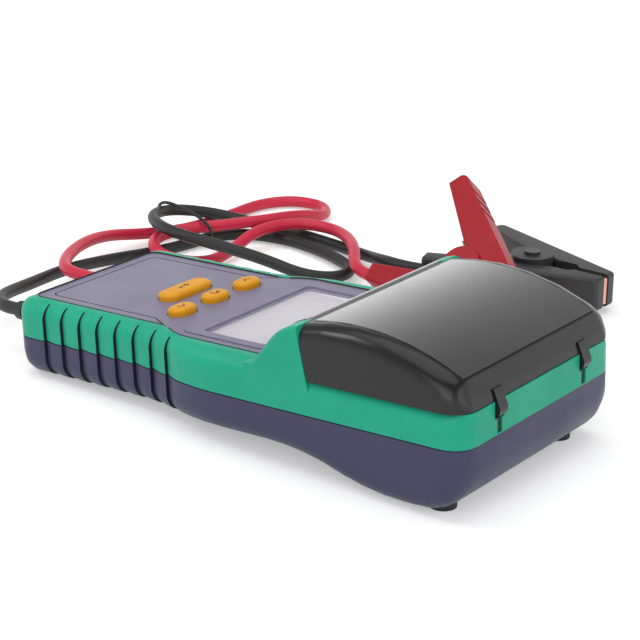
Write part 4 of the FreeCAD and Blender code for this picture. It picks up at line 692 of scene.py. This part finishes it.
@dataclass
class FrontPanel:
    """Panel with its painted line, a thin dark tube that paints the shade in the gap round it, the
    display and the tear bar.
    """

    # Size and place of the dark tube that paints the shade in the gap round the panel.
    gap_shade_radius: float = 0.32
    gap_shade_sides: int = 8
    gap_shade_out: float = 0.17
    gap_shade_up: float = 0.26
    wall_drop: float = 1.0
    flat_enough: float = 0.45
    steep_enough: float = 0.4
    facing_printer: float = 0.7
    top: float = 14.4
    paint_below: float = 0.12
    grey: Colour = (0.2, 0.185, 0.275)
    grey_shade: Colour = (0.18, 0.168, 0.25)
    bezel: Finish = Finish(
        "bezel grey", (0.2, 0.185, 0.275), (0.185, 0.172, 0.255), 0.36, 0.44, specular=0.3
    )
    window: Finish = Finish(
        "window clear",
        (0.9, 0.9, 0.93),
        (0.86, 0.86, 0.9),
        0.05,
        0.09,
        alpha=0.12,
        grain_depth=0.002 * MM,
    )
    display: Finish = Finish(
        "display pale", (0.94, 0.9, 0.96), (0.9, 0.86, 0.92), 0.35, 0.45, mottle_scale=12.0
    )
    tear: Finish = Finish("tear bar grey", (0.5, 0.5, 0.5), (0.44, 0.44, 0.45), 0.3, 0.42)

    def build(self, shop: Workshop) -> None:
        """Dresses the panel, display and tear bar, and runs a dark tube of painted shade round the
        panel.
        """
        panel = Finish(
            "panel grey",
            self.grey,
            self.grey_shade,
            smooth=0.4,
            rough=0.5,
            texture=Texture.PAINTED_LINE,
            up=tuple(shop.case.up),
            level=shop.case.level(self.top - self.paint_below),
        )
        shop.dress(panel, "front_panel")
        shop.dress(self.bezel, "display_bezel")
        shop.dress(self.window, "display_window")
        shop.dress(self.display, "lcd_module")
        shop.dress(self.tear, "tear_bar")
        self._gap_shade(shop)

    def _gap_shade(self, shop: Workshop) -> None:
        """Runs a thin dark tube along the gap between the panel and the case, as painted shade in the
        gap.

        Args:
            shop: the workshop.
        """
        for number, line in enumerate(self._outer_lines(shop), start=1):
            name = f"panel_gap_shade_{number}"
            mesh = wire_mesh(name, line, self.gap_shade_radius * MM, self.gap_shade_sides)
            # Painted shade: the tube takes the near-black tub finish to darken the gap as shade
            # would.
            shop.add(bpy.data.objects.new(name, mesh), Printer.tub, "case", "cover_black")

    def _outer_lines(self, shop: Workshop) -> list[list[Vector]]:
        """Finds the lines of points just outside the panel's top edge.

        Args:
            shop: the workshop.

        Returns:
            The lines, without the end at the printer and the holes for keys and display.
        """
        node = shop.frame["nodes"]["front_panel"]
        copy = bmesh.new()
        copy.from_mesh(node.data)
        copy.transform(node.matrix_world)
        bmesh.ops.remove_doubles(copy, verts=copy.verts, dist=WELD)
        copy.normal_update()
        walls = self._walls(copy, shop.case)
        left = dict(walls)
        lines: list[list[Vector]] = []
        while left:
            first = next(iter(left))
            chain = [*first.verts]
            del left[first]
            for _ in ("one way", "the other way"):
                chain.reverse()
                while onward := [edge for edge in chain[-1].link_edges if edge in left]:
                    chain.append(onward[0].other_vert(chain[-1]))
                    del left[onward[0]]
            middle = sum((corner.co for corner in chain), Vector()) / len(chain)
            line, outward = [], 0.0
            for corner in chain:
                beside = [walls[edge] for edge in corner.link_edges if edge in walls]
                way = sum(beside, Vector()).normalized()
                outward += way.dot(corner.co - middle)
                line.append(corner.co + (way * self.gap_shade_out + shop.case.up * self.gap_shade_up) * MM)
            if outward > 0.0:
                lines.append(line)
        copy.free()
        return lines

    def _walls(self, copy: bmesh.types.BMesh, case: CaseFrame) -> dict[bmesh.types.BMEdge, Vector]:
        """Finds the edges where the panel's top turns down into a wall as high as the panel is thick.

        Args:
            copy: copy of the panel's mesh.
            case: the case's frame.

        Returns:
            The direction that the wall faces, by its top edge.
        """
        walls: dict[bmesh.types.BMEdge, Vector] = {}
        for edge in copy.edges:
            if len(edge.link_faces) != 2:
                continue
            wall, top = sorted(edge.link_faces, key=lambda face: face.normal.dot(case.up))
            drop = max((edge.verts[0].co - corner.co).dot(case.up) for corner in wall.verts)
            if (
                top.normal.dot(case.up) > self.flat_enough
                and abs(wall.normal.dot(case.up)) < self.steep_enough
                and wall.normal.dot(case.along) < self.facing_printer
                and drop > self.wall_drop * MM
            ):
                walls[edge] = wall.normal.copy()
        return walls


@dataclass
class KeyPad:
    """Four amber keys with their printed legends."""

    key_row: float = -40.8
    key_pitch: float = 19.5
    enter_row: float = -56.6
    key_top: float = 17.2
    ink_thick: float = 0.1
    ink_sunk: float = 0.04
    pen: float = 0.55
    amber: Finish = Finish(
        "key amber", (0.76, 0.34, 0.008), (0.7, 0.3, 0.006), 0.42, 0.52, specular=0.25
    )
    ink: Finish = Finish("legend ink", (0.05, 0.02, 0.01), (0.07, 0.03, 0.01), 0.5, 0.6)

    def build(self, shop: Workshop) -> None:
        """Dresses the keys and prints their legends."""
        shop.dress(self.amber, "up_button", "return_button", "down_button", "enter_button")
        keys = {
            "up": (Legend.UP, self.key_row, -self.key_pitch),
            "return": (Legend.RETURN, self.key_row, 0.0),
            "down": (Legend.DOWN, self.key_row, self.key_pitch),
            "enter": (Legend.ENTER, self.enter_row, 0.0),
        }
        for name, (legend, x, y) in keys.items():
            self._print(shop, name, legend, x, y)

    def _print(self, shop: Workshop, name: str, legend: Legend, x: float, y: float) -> None:
        """Prints one legend on a key.

        Args:
            shop: the workshop.
            name: the key's name.
            legend: the mark.
            x: place of the key along the case.
            y: place of the key across the case.
        """
        outlines = [stroke_outline(line, self.pen) for line in self._lines(legend)]
        mesh = plate_mesh(name + "_legend", outlines, self.ink_thick)
        across = Vector((0.0, -1.0, 0.0))
        turn = Matrix((across, shop.case.along, shop.case.up)).transposed().to_4x4()
        seat = shop.case.place(x, y, self.key_top - self.ink_sunk)
        mesh.transform(Matrix.Translation(seat) @ turn @ Matrix.Scale(MM, 4))
        piece = bpy.data.objects.new(name + "_legend", mesh)
        shop.add(piece, self.ink, name + "_key", "switch_black")

    @staticmethod
    def _lines(legend: Legend) -> list[list[Spot]]:
        """Lines of a mark, read with the leads at the bottom.

        Args:
            legend: the mark.

        Returns:
            The points of each pen line, in millimetres from the key's middle.
        """
        if legend is Legend.UP:
            return [[(-2.0, -0.9), (0.0, 0.9), (2.0, -0.9)]]
        if legend is Legend.DOWN:
            return [[(-2.0, 0.9), (0.0, -0.9), (2.0, 0.9)]]
        if legend is Legend.ENTER:
            stem = [(2.6, 1.3), (2.6, -0.5), (-2.2, -0.5)]
            return [stem, [(-1.1, 0.7), (-2.4, -0.5), (-1.1, -1.7)]]
        radius, drop = 1.5, 0.2
        turns = [math.radians(angle) for angle in range(-60, 181, 30)]
        hook = [(radius * math.cos(a), radius * math.sin(a) - drop) for a in turns]
        return [hook, [(-2.4, 0.6), (-1.5, -0.5), (-0.6, 0.6)]]


@dataclass
class Electronics:
    """Circuit board and what it carries."""

    board: Finish = Finish("board green", (0.02, 0.16, 0.06), (0.015, 0.12, 0.045), 0.35, 0.5)
    parts: Finish = Finish("component black", (0.014, 0.014, 0.015), (0.022, 0.022, 0.024), 0.4, 0.55)
    nylon: Finish = Finish("nylon white", (0.7, 0.7, 0.66), (0.64, 0.64, 0.6), 0.4, 0.5)
    screw: Finish = CaseShells.screw

    def build(self, shop: Workshop) -> None:
        """Dresses the board, its parts, spacers and screws."""
        shop.dress(self.board, "main_board")
        shop.dress(self.parts, "key_switches", "board_components")
        shop.dress(self.nylon, "display_spacers")
        shop.dress(self.screw, "board_screws")


@dataclass
class Printer:
    """Receipt printer: hinged cover with its satin plate, works, roll and tub."""

    cover: Finish = Finish(
        "cover black",
        (0.011, 0.011, 0.012),
        (0.014, 0.014, 0.015),
        0.22,
        0.28,
        specular=0.35,
        grain_depth=0.008 * MM,
    )
    plate: Finish = Finish(
        "cover plate satin",
        (0.008, 0.008, 0.009),
        (0.011, 0.011, 0.012),
        0.24,
        0.3,
        Texture.BRUSHED,
        coat=1.0,
        specular=0.8,
        grain_depth=0.0015 * MM,
        stretch=(1800.0, 15.0, 1800.0),
    )
    steel: Finish = Finish(
        "printer steel",
        (0.5, 0.51, 0.53),
        (0.42, 0.43, 0.45),
        0.3,
        0.42,
        Texture.BRUSHED,
        metallic=1.0,
        stretch=(60.0, 2600.0, 2600.0),
    )
    tub: Finish = Finish("tub black", (0.014, 0.014, 0.015), (0.02, 0.02, 0.021), 0.45, 0.6)
    rubber: Finish = Finish(
        "platen rubber", (0.016, 0.016, 0.017), (0.023, 0.023, 0.024), 0.65, 0.8
    )
    paper: Finish = Finish(
        "paper white", (0.8, 0.79, 0.76), (0.74, 0.73, 0.7), 0.6, 0.75, mottle_scale=90.0
    )
    hinge_y: float = 28.0
    # Place and size of the dark strips that paint the shade in the slits under the hinge tongues.
    slit_floor_x: float = 108.9
    slit_half_width: float = 1.45
    slit_low: float = 0.6
    slit_high: float = 5.7
    shade_strip_thick: float = 0.4

    def build(self, shop: Workshop) -> None:
        """Dresses the printer and puts dark strips of painted shade in the slits under the cover's
        hinge tongues.
        """
        self._slit_shade_strips(shop)
        shop.dress(self.cover, "printer_cover")
        shop.dress(self.plate, "cover_panel")
        shop.dress(self.steel, "printer_frame", "stepper_motor", "print_head")
        shop.dress(CaseShells.screw, "platen_shaft", "frame_screws", "head_springs")
        shop.dress(self.tub, "printer_tub")
        shop.dress(self.rubber, "platen_roller")
        shop.dress(self.paper, "paper_roll")
        shop.dress(Electronics.nylon, "platen_gear", "idler_gear", "motor_pinion")

    def _slit_shade_strips(self, shop: Workshop) -> None:
        """Puts a thin dark strip in both slits of the printer end, as painted shade in the slits.

        Args:
            shop: the workshop.
        """
        half = self.slit_half_width
        strips = [
            [
                (side * self.hinge_y + across, height)
                for across, height in (
                    (-half, self.slit_low),
                    (half, self.slit_low),
                    (half, self.slit_high),
                    (-half, self.slit_high),
                )
            ]
            for side in (-1, 1)
        ]
        mesh = plate_mesh("slit_shade_strips", strips, self.shade_strip_thick)
        turn = Matrix((Vector((0.0, 1.0, 0.0)), shop.case.up, shop.case.along)).transposed().to_4x4()
        seat = shop.case.place(self.slit_floor_x, 0.0, 0.0)
        mesh.transform(Matrix.Translation(seat) @ turn @ Matrix.Scale(MM, 4))
        # Painted shade: the strips take the near-black tub finish to darken the slits.
        shop.add(bpy.data.objects.new("slit_shade_strips", mesh), self.tub, "case", "cover_black")


# Routes over the table in the part's frame, in millimetres, from the boot to the clamp.
BLACK_ROUTE: list[Place] = [
    (-152, -13, 14.4), (-161, 16, 10.5), (-169, 44, 7.5), (-170, 72, 4.2), (-162, 98, 3.2),
    (-158, 118, 3.2), (-157, 134, 3.2), (-145, 147, 3.3), (-124, 151, 3.3), (-104, 147, 3.8),
    (-86, 141, 4), (-72, 132.5, 4), (-71, 118, 4.5), (-83, 108.5, 6), (-104, 107, 9.5),
    (-126, 98, 14.5), (-146, 94, 16.5), (-166, 101, 16), (-180, 115, 14.5), (-182, 133, 12),
    (-170, 149, 8.5), (-150, 160, 3.8), (-126, 162, 3.2), (-100, 159, 3.2), (-76, 151, 5),
    (-60, 140, 9.5), (-41.691, 136.26, 10.7), (-26.336, 140.757, 10.7),
]
RED_ROUTE: list[Place] = [
    (-152, 26, 16.2), (-166, 42, 15), (-178, 66, 13), (-184, 88, 9.5), (-181, 108, 5.5),
    (-174, 132, 3.2), (-172, 163, 3.2), (-173, 188, 3.2), (-163, 204, 3.2), (-145, 206, 3.2),
    (-133, 192, 3.6), (-134, 170, 9.4), (-141, 150, 10), (-152, 132, 9.8), (-163, 114, 9.8),
    (-163, 97, 10), (-152, 85, 9), (-138, 87, 6.5), (-131, 100, 4), (-133, 118, 4.4),
    (-134, 138, 9.8), (-126, 158, 10.2), (-108, 164, 9.4), (-90, 154, 10.4), (-76, 139, 11),
    (-66, 125, 9.8), (-55.245, 120.278, 8.795), (-39.407, 118.012, 8.67),
]
TIE_ROUTE: list[Place] = [
    (-146.5, 121, 1.4), (-147.5, 122, 9), (-154, 123, 14.5), (-168, 124, 17.2),
    (-181, 125, 18.2), (-187, 126, 14), (-187, 126, 1.4),
]


@dataclass
class TestLeads:
    """Two clamp leads, laid behind the case as a tied hank, and the boots that they leave it by."""

    diameter: float = 5.5
    tie_diameter: float = 1.6
    black_length: float = 624.0
    red_length: float = 584.0
    tie_length: float = 61.6
    lead_y: float = 24.0
    lead_z: float = 1.5
    case_end: float = -110.0
    lead_end: float = -97.0
    boot_tip: float = -127.0
    straight_end: float = -139.0
    round_steps: int = 6
    run_steps: int = 12
    black: Finish = Finish(
        "lead black", (0.0095, 0.0095, 0.0105), (0.013, 0.013, 0.014), 0.42, 0.52
    )
    red: Finish = Finish("lead red", (0.62, 0.01, 0.05), (0.56, 0.008, 0.042), 0.38, 0.48)

    def build(self, shop: Workshop) -> None:
        """Lays both leads and the tie, and dresses the boots."""
        shop.dress(self.black, "black_boot")
        shop.dress(self.red, "red_boot")
        black = self._lead(shop, "black", self.black, -self.lead_y, BLACK_ROUTE)
        red = self._lead(shop, "red", self.red, self.lead_y, RED_ROUTE)
        for lead, colour, length, side in (
            (black, "black", self.black_length, -self.lead_y),
            (red, "red", self.red_length, self.lead_y),
        ):
            shop.case.place(self.case_end, side, self.lead_z)
        tie = self._cord("lead_tie_wire", [Vector(p) * MM for p in TIE_ROUTE], self.tie_diameter)
        shop.add(tie, self.black, "case", "lead_black")
        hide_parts("lead_tie")

    def _lead(
        self, shop: Workshop, colour: str, finish: Finish, side: float, route: list[Place]
    ) -> bpy.types.Object:
        """Lays one lead from inside the case to its clamp.

        Args:
            shop: the workshop.
            colour: the lead's colour word.
            finish: its finish.
            side: how far to the side it leaves the case.
            route: the points that it follows outside, in millimetres.

        Returns:
            The lead.
        """
        inside = (self.lead_end, self.boot_tip, self.straight_end)
        points = [shop.case.place(x, side, self.lead_z) for x in inside]
        points += [Vector(p) * MM for p in route]
        lead = self._cord(colour + "_test_lead", points, self.diameter)
        shop.add(lead, finish, "case", "lead_" + colour)
        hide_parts(colour + "_lead")
        return lead

    def _cord(self, name: str, points: list[Vector], diameter: float) -> bpy.types.Object:
        """Makes a round cord along a route.

        Args:
            name: name of the piece.
            points: the route, in metres.
            diameter: the cord's diameter, in millimetres.

        Returns:
            The cord, not yet in the scene.
        """
        curve = bpy.data.curves.new(name, "CURVE")
        curve.dimensions = "3D"
        curve.bevel_depth = diameter / 2 * MM
        curve.bevel_resolution = self.round_steps
        curve.resolution_u = self.run_steps
        curve.use_fill_caps = True
        spline = curve.splines.new("NURBS")
        spline.points.add(len(points) - 1)
        for knot, point in zip(spline.points, points):
            knot.co = (*point, 1.0)
        spline.order_u = 3
        spline.use_endpoint_u = True
        return bpy.data.objects.new(name, curve)


@dataclass
class Clamps:
    """Black and red battery clamps with copper teeth and wound springs."""

    wire: float = 1.2
    coil_radius: float = 4.2
    coil_pitch: float = 1.7
    coil_turns: int = 2
    leg: float = 16.0
    leg_angle: float = 20.0
    turn_steps: int = 28
    black_turn: Place = (-2.0, 0.0, 0.0)
    red_turn: Place = (-20.86, 13.76, 45.55)
    black: Finish = Finish(
        "clamp black", (0.024, 0.024, 0.025), (0.032, 0.032, 0.033), 0.42, 0.52
    )
    red: Finish = Finish(
        "clamp red", (0.4, 0.008, 0.016), (0.35, 0.006, 0.013), 0.42, 0.52, specular=0.25
    )
    rivet: Finish = Finish("rivet black", (0.03, 0.03, 0.032), (0.045, 0.045, 0.047), 0.35, 0.45)
    spring: Finish = CaseShells.screw
    copper: Finish = Finish(
        "teeth copper",
        (0.78, 0.4, 0.33),
        (0.7, 0.34, 0.28),
        0.25,
        0.36,
        Texture.BRUSHED,
        metallic=1.0,
        stretch=(900.0, 900.0, 60.0),
    )

    def build(self, shop: Workshop) -> None:
        """Dresses both clamps and winds their springs."""
        for colour, finish, turn in (
            ("black", self.black, self.black_turn),
            ("red", self.red, self.red_turn),
        ):
            shop.dress(finish, colour + "_clamp_base", colour + "_clamp_jaw")
            shop.dress(self.rivet, colour + "_clamp_rivet")
            shop.dress(self.copper, colour + "_base_teeth", colour + "_jaw_teeth")
            self._spring(shop, colour, turn)

    def _spring(self, shop: Workshop, colour: str, turn: Place) -> None:
        """Winds the spring of one clamp round its jaw hinge, with a straight leg at each end of the
        coil.

        Args:
            shop: the workshop.
            colour: the clamp's colour word.
            turn: the clamp's yaw, pitch and roll, in degrees.
        """
        joint = joint_facts(shop.frame, colour + "_jaw_hinge")
        pivot = Vector(joint["pos_m"])
        pose = Matrix.Identity(3)
        for angle, axis in zip(turn, "ZYX"):
            pose = pose @ Matrix.Rotation(math.radians(angle), 3, axis)
        line, rise = self._coil()
        name = colour + "_wound_spring"
        mesh = wire_mesh(name, [pivot + pose @ spot * MM for spot in line], self.wire / 2 * MM)
        piece = bpy.data.objects.new(name, mesh)
        bpy.context.scene.collection.objects.link(piece)
        mesh.materials.append(shop.material(self.spring))
        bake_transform(piece)
        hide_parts(colour + "_clamp_spring")
        LOG.info("%s: new piece between case and %s_jaw, %s", name, colour, self.spring.name)

    def _coil(self) -> tuple[list[Vector], float]:
        """Works out a spring's centreline, from the lower leg's tip to the upper leg's.

        Returns:
            The points, in millimetres from the rivet's middle, and the height of the coil.
        """
        slope = math.radians(90 - self.leg_angle)
        total = 2 * slope + math.tau * self.coil_turns
        rise = self.coil_pitch * total / math.tau
        count = round(self.turn_steps * total / math.tau)
        line: list[Vector] = []
        for step in range(count + 1):
            angle = total * step / count - slope
            spot = Vector((math.cos(angle), math.sin(angle), 0.0)) * self.coil_radius
            spot.z = rise * (step / count - 0.5)
            line.append(spot)
        tilt = self.coil_pitch / math.tau / self.coil_radius
        lower = Vector((-math.sin(slope), -math.cos(slope), -tilt)).normalized()
        upper = Vector((-math.sin(slope), math.cos(slope), tilt)).normalized()
        return [line[0] + lower * self.leg, *line, line[-1] + upper * self.leg], rise


@dataclass
class SoftLamp:
    """One soft lamp of the studio."""

    name: str
    place: Place
    size: float
    power: float


@dataclass
class Studio:
    """White floor, white surroundings, soft lamps and the camera."""

    floor_half: float = 4.0
    floor_colour: Colour = (0.8, 0.8, 0.8)
    floor_rough: float = 0.9
    floor_glow: float = 0.36
    glow_reach: Spot = (0.45, 1.4)
    world_light: float = 0.45
    room_seen: float = 1.3
    ceiling_seen: float = 0.1
    ceiling_height: float = 0.9
    aim: Place = (0.0317, -0.028, 0.0511)
    azimuth: float = 37.377
    elevation: float = 20.563
    roll: float = 0.555
    distance: float = 0.7
    focal_share: float = 3.0383
    sensor: float = 36.0
    lamps: tuple[SoftLamp, ...] = (
        SoftLamp("top lamp", (-0.1, 0.1, 1.5), 1.4, 10.0),
        SoftLamp("front lamp", (0.5, -1.4, 0.9), 1.2, 8.0),
        SoftLamp("end lamp", (1.5, 0.1, 0.7), 1.0, 4.0),
        SoftLamp("shoulder lamp", (-0.8, -0.49, 1.04), 0.35, 3.0),
    )

    def build(self) -> None:
        """Sets the studio up."""
        scene = bpy.context.scene
        scene.view_settings.view_transform = "Standard"
        self._floor()
        self._surroundings(scene)
        for lamp in self.lamps:
            self._lamp(lamp)
        self._camera(scene)

    @staticmethod
    def _seen(sheet: Sheet) -> Socket:
        """Adds nodes that tell rays that show a surface from rays that light others.

        Args:
            sheet: sheet of a material or the world.

        Returns:
            The socket that is 1 for camera, glossy and transmission rays.
        """
        path = sheet.node("ShaderNodeLightPath").outputs
        seen = path["Is Camera Ray"]
        for other in ("Is Glossy Ray", "Is Transmission Ray"):
            seen = sheet.maths("MAXIMUM", seen, path[other])
        return seen

    def _floor(self) -> None:
        """Lays the pale floor, which glows to the camera, most of all far off, to show white."""
        half = self.floor_half
        corners = [(-half, -half, 0), (half, -half, 0), (half, half, 0), (-half, half, 0)]
        mesh = bpy.data.meshes.new("floor")
        mesh.from_pydata(corners, [], [(0, 1, 2, 3)])
        floor = bpy.data.objects.new("floor", mesh)
        bpy.context.scene.collection.objects.link(floor)
        material = bpy.data.materials.new("floor pale")
        material.use_nodes = True
        sheet = Sheet(material.node_tree)
        shader = sheet.tree.nodes["Principled BSDF"]
        sheet.fill(
            shader,
            {
                "Base Color": (*self.floor_colour, 1.0),
                "Roughness": self.floor_rough,
                "Specular IOR Level": 0.0,
                "Emission Color": (1.0, 1.0, 1.0, 1.0),
            },
        )
        spot = sheet.node("ShaderNodeNewGeometry").outputs["Position"]
        near, far = self.glow_reach
        rise = sheet.node(
            "ShaderNodeMapRange", {"From Min": near, "From Max": far, "To Min": self.floor_glow}
        )
        rise.interpolation_type = "SMOOTHSTEP"
        glow = sheet.maths("MULTIPLY", self._seen(sheet), rise.outputs["Result"])
        sheet.link(
            (sheet.vector_maths("LENGTH", "Value", spot), rise.inputs["Value"]),
            (glow, shader.inputs["Emission Strength"]),
        )
        mesh.materials.append(material)
        LOG.info("floor laid")

    def _surroundings(self, scene: bpy.types.Scene) -> None:
        """Lights the scene evenly all round; the camera sees white, and gloss shows a dim ceiling.

        Args:
            scene: the scene.
        """
        world = bpy.data.worlds.new("studio")
        world.use_nodes = True
        sheet = Sheet(world.node_tree)
        background = sheet.tree.nodes["Background"]
        sheet.fill(background, {"Color": (1.0, 1.0, 1.0, 1.0)})
        way = sheet.node("ShaderNodeSeparateXYZ")
        room = sheet.node(
            "ShaderNodeMapRange",
            {"From Max": self.ceiling_height, "To Min": self.room_seen, "To Max": self.ceiling_seen},
        )
        room.interpolation_type = "SMOOTHSTEP"
        strength = sheet.node("ShaderNodeMix", {"A": self.world_light})
        plain = sheet.node("ShaderNodeMix", {"B": 1.0})
        sheet.link(
            (sheet.node("ShaderNodeTexCoord").outputs["Generated"], way.inputs["Vector"]),
            (way.outputs["Z"], room.inputs["Value"]),
            (room.outputs["Result"], strength.inputs["B"]),
            (self._seen(sheet), strength.inputs["Factor"]),
            (strength.outputs["Result"], plain.inputs["A"]),
            (sheet.node("ShaderNodeLightPath").outputs["Is Camera Ray"], plain.inputs["Factor"]),
            (plain.outputs["Result"], background.inputs["Strength"]),
        )
        scene.world = world
        LOG.info("surroundings set")

    def _lamp(self, lamp: SoftLamp) -> None:
        """Hangs one soft lamp, turned towards the aim.

        Args:
            lamp: the lamp.
        """
        light = bpy.data.lights.new(lamp.name, "AREA")
        light.size = lamp.size
        light.energy = lamp.power
        holder = bpy.data.objects.new(lamp.name, light)
        holder.location = lamp.place
        way = Vector(self.aim) - Vector(lamp.place)
        holder.rotation_euler = way.to_track_quat("-Z", "Y").to_euler()
        bpy.context.scene.collection.objects.link(holder)
        LOG.info("%s hung", lamp.name)

    def _camera(self, scene: bpy.types.Scene) -> None:
        """Sets the camera at the photograph's viewing angle.

        Args:
            scene: the scene.
        """
        turn, rise = math.radians(self.azimuth), math.radians(self.elevation)
        back = Vector(
            (math.sin(turn) * math.cos(rise), -math.cos(turn) * math.cos(rise), math.sin(rise))
        )
        data = bpy.data.cameras.new("camera")
        data.sensor_width = self.sensor
        data.lens = self.focal_share * self.sensor
        camera = bpy.data.objects.new("camera", data)
        look = (-back).to_track_quat("-Z", "Y").to_matrix().to_4x4()
        spot = Matrix.Translation(Vector(self.aim) + back * self.distance)
        camera.matrix_world = spot @ look @ Matrix.Rotation(math.radians(self.roll), 4, "Z")
        scene.collection.objects.link(camera)
        scene.camera = camera
        LOG.info("camera set")


def main() -> None:
    """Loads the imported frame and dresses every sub-assembly."""
    logging.basicConfig(level=logging.INFO, format="%(message)s")
    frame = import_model()
    shop = Workshop(frame, CaseFrame.from_frame(frame), SurfaceEffects(), SoftShading().group())
    for assembly in (CaseShells, FrontPanel, KeyPad, Electronics, Printer, Clamps, TestLeads):
        assembly().build(shop)
        LOG.info("%s dressed", assembly.__name__)
    Studio().build()
    bpy.context.view_layer.update()


if __name__ == "__main__":
    main()
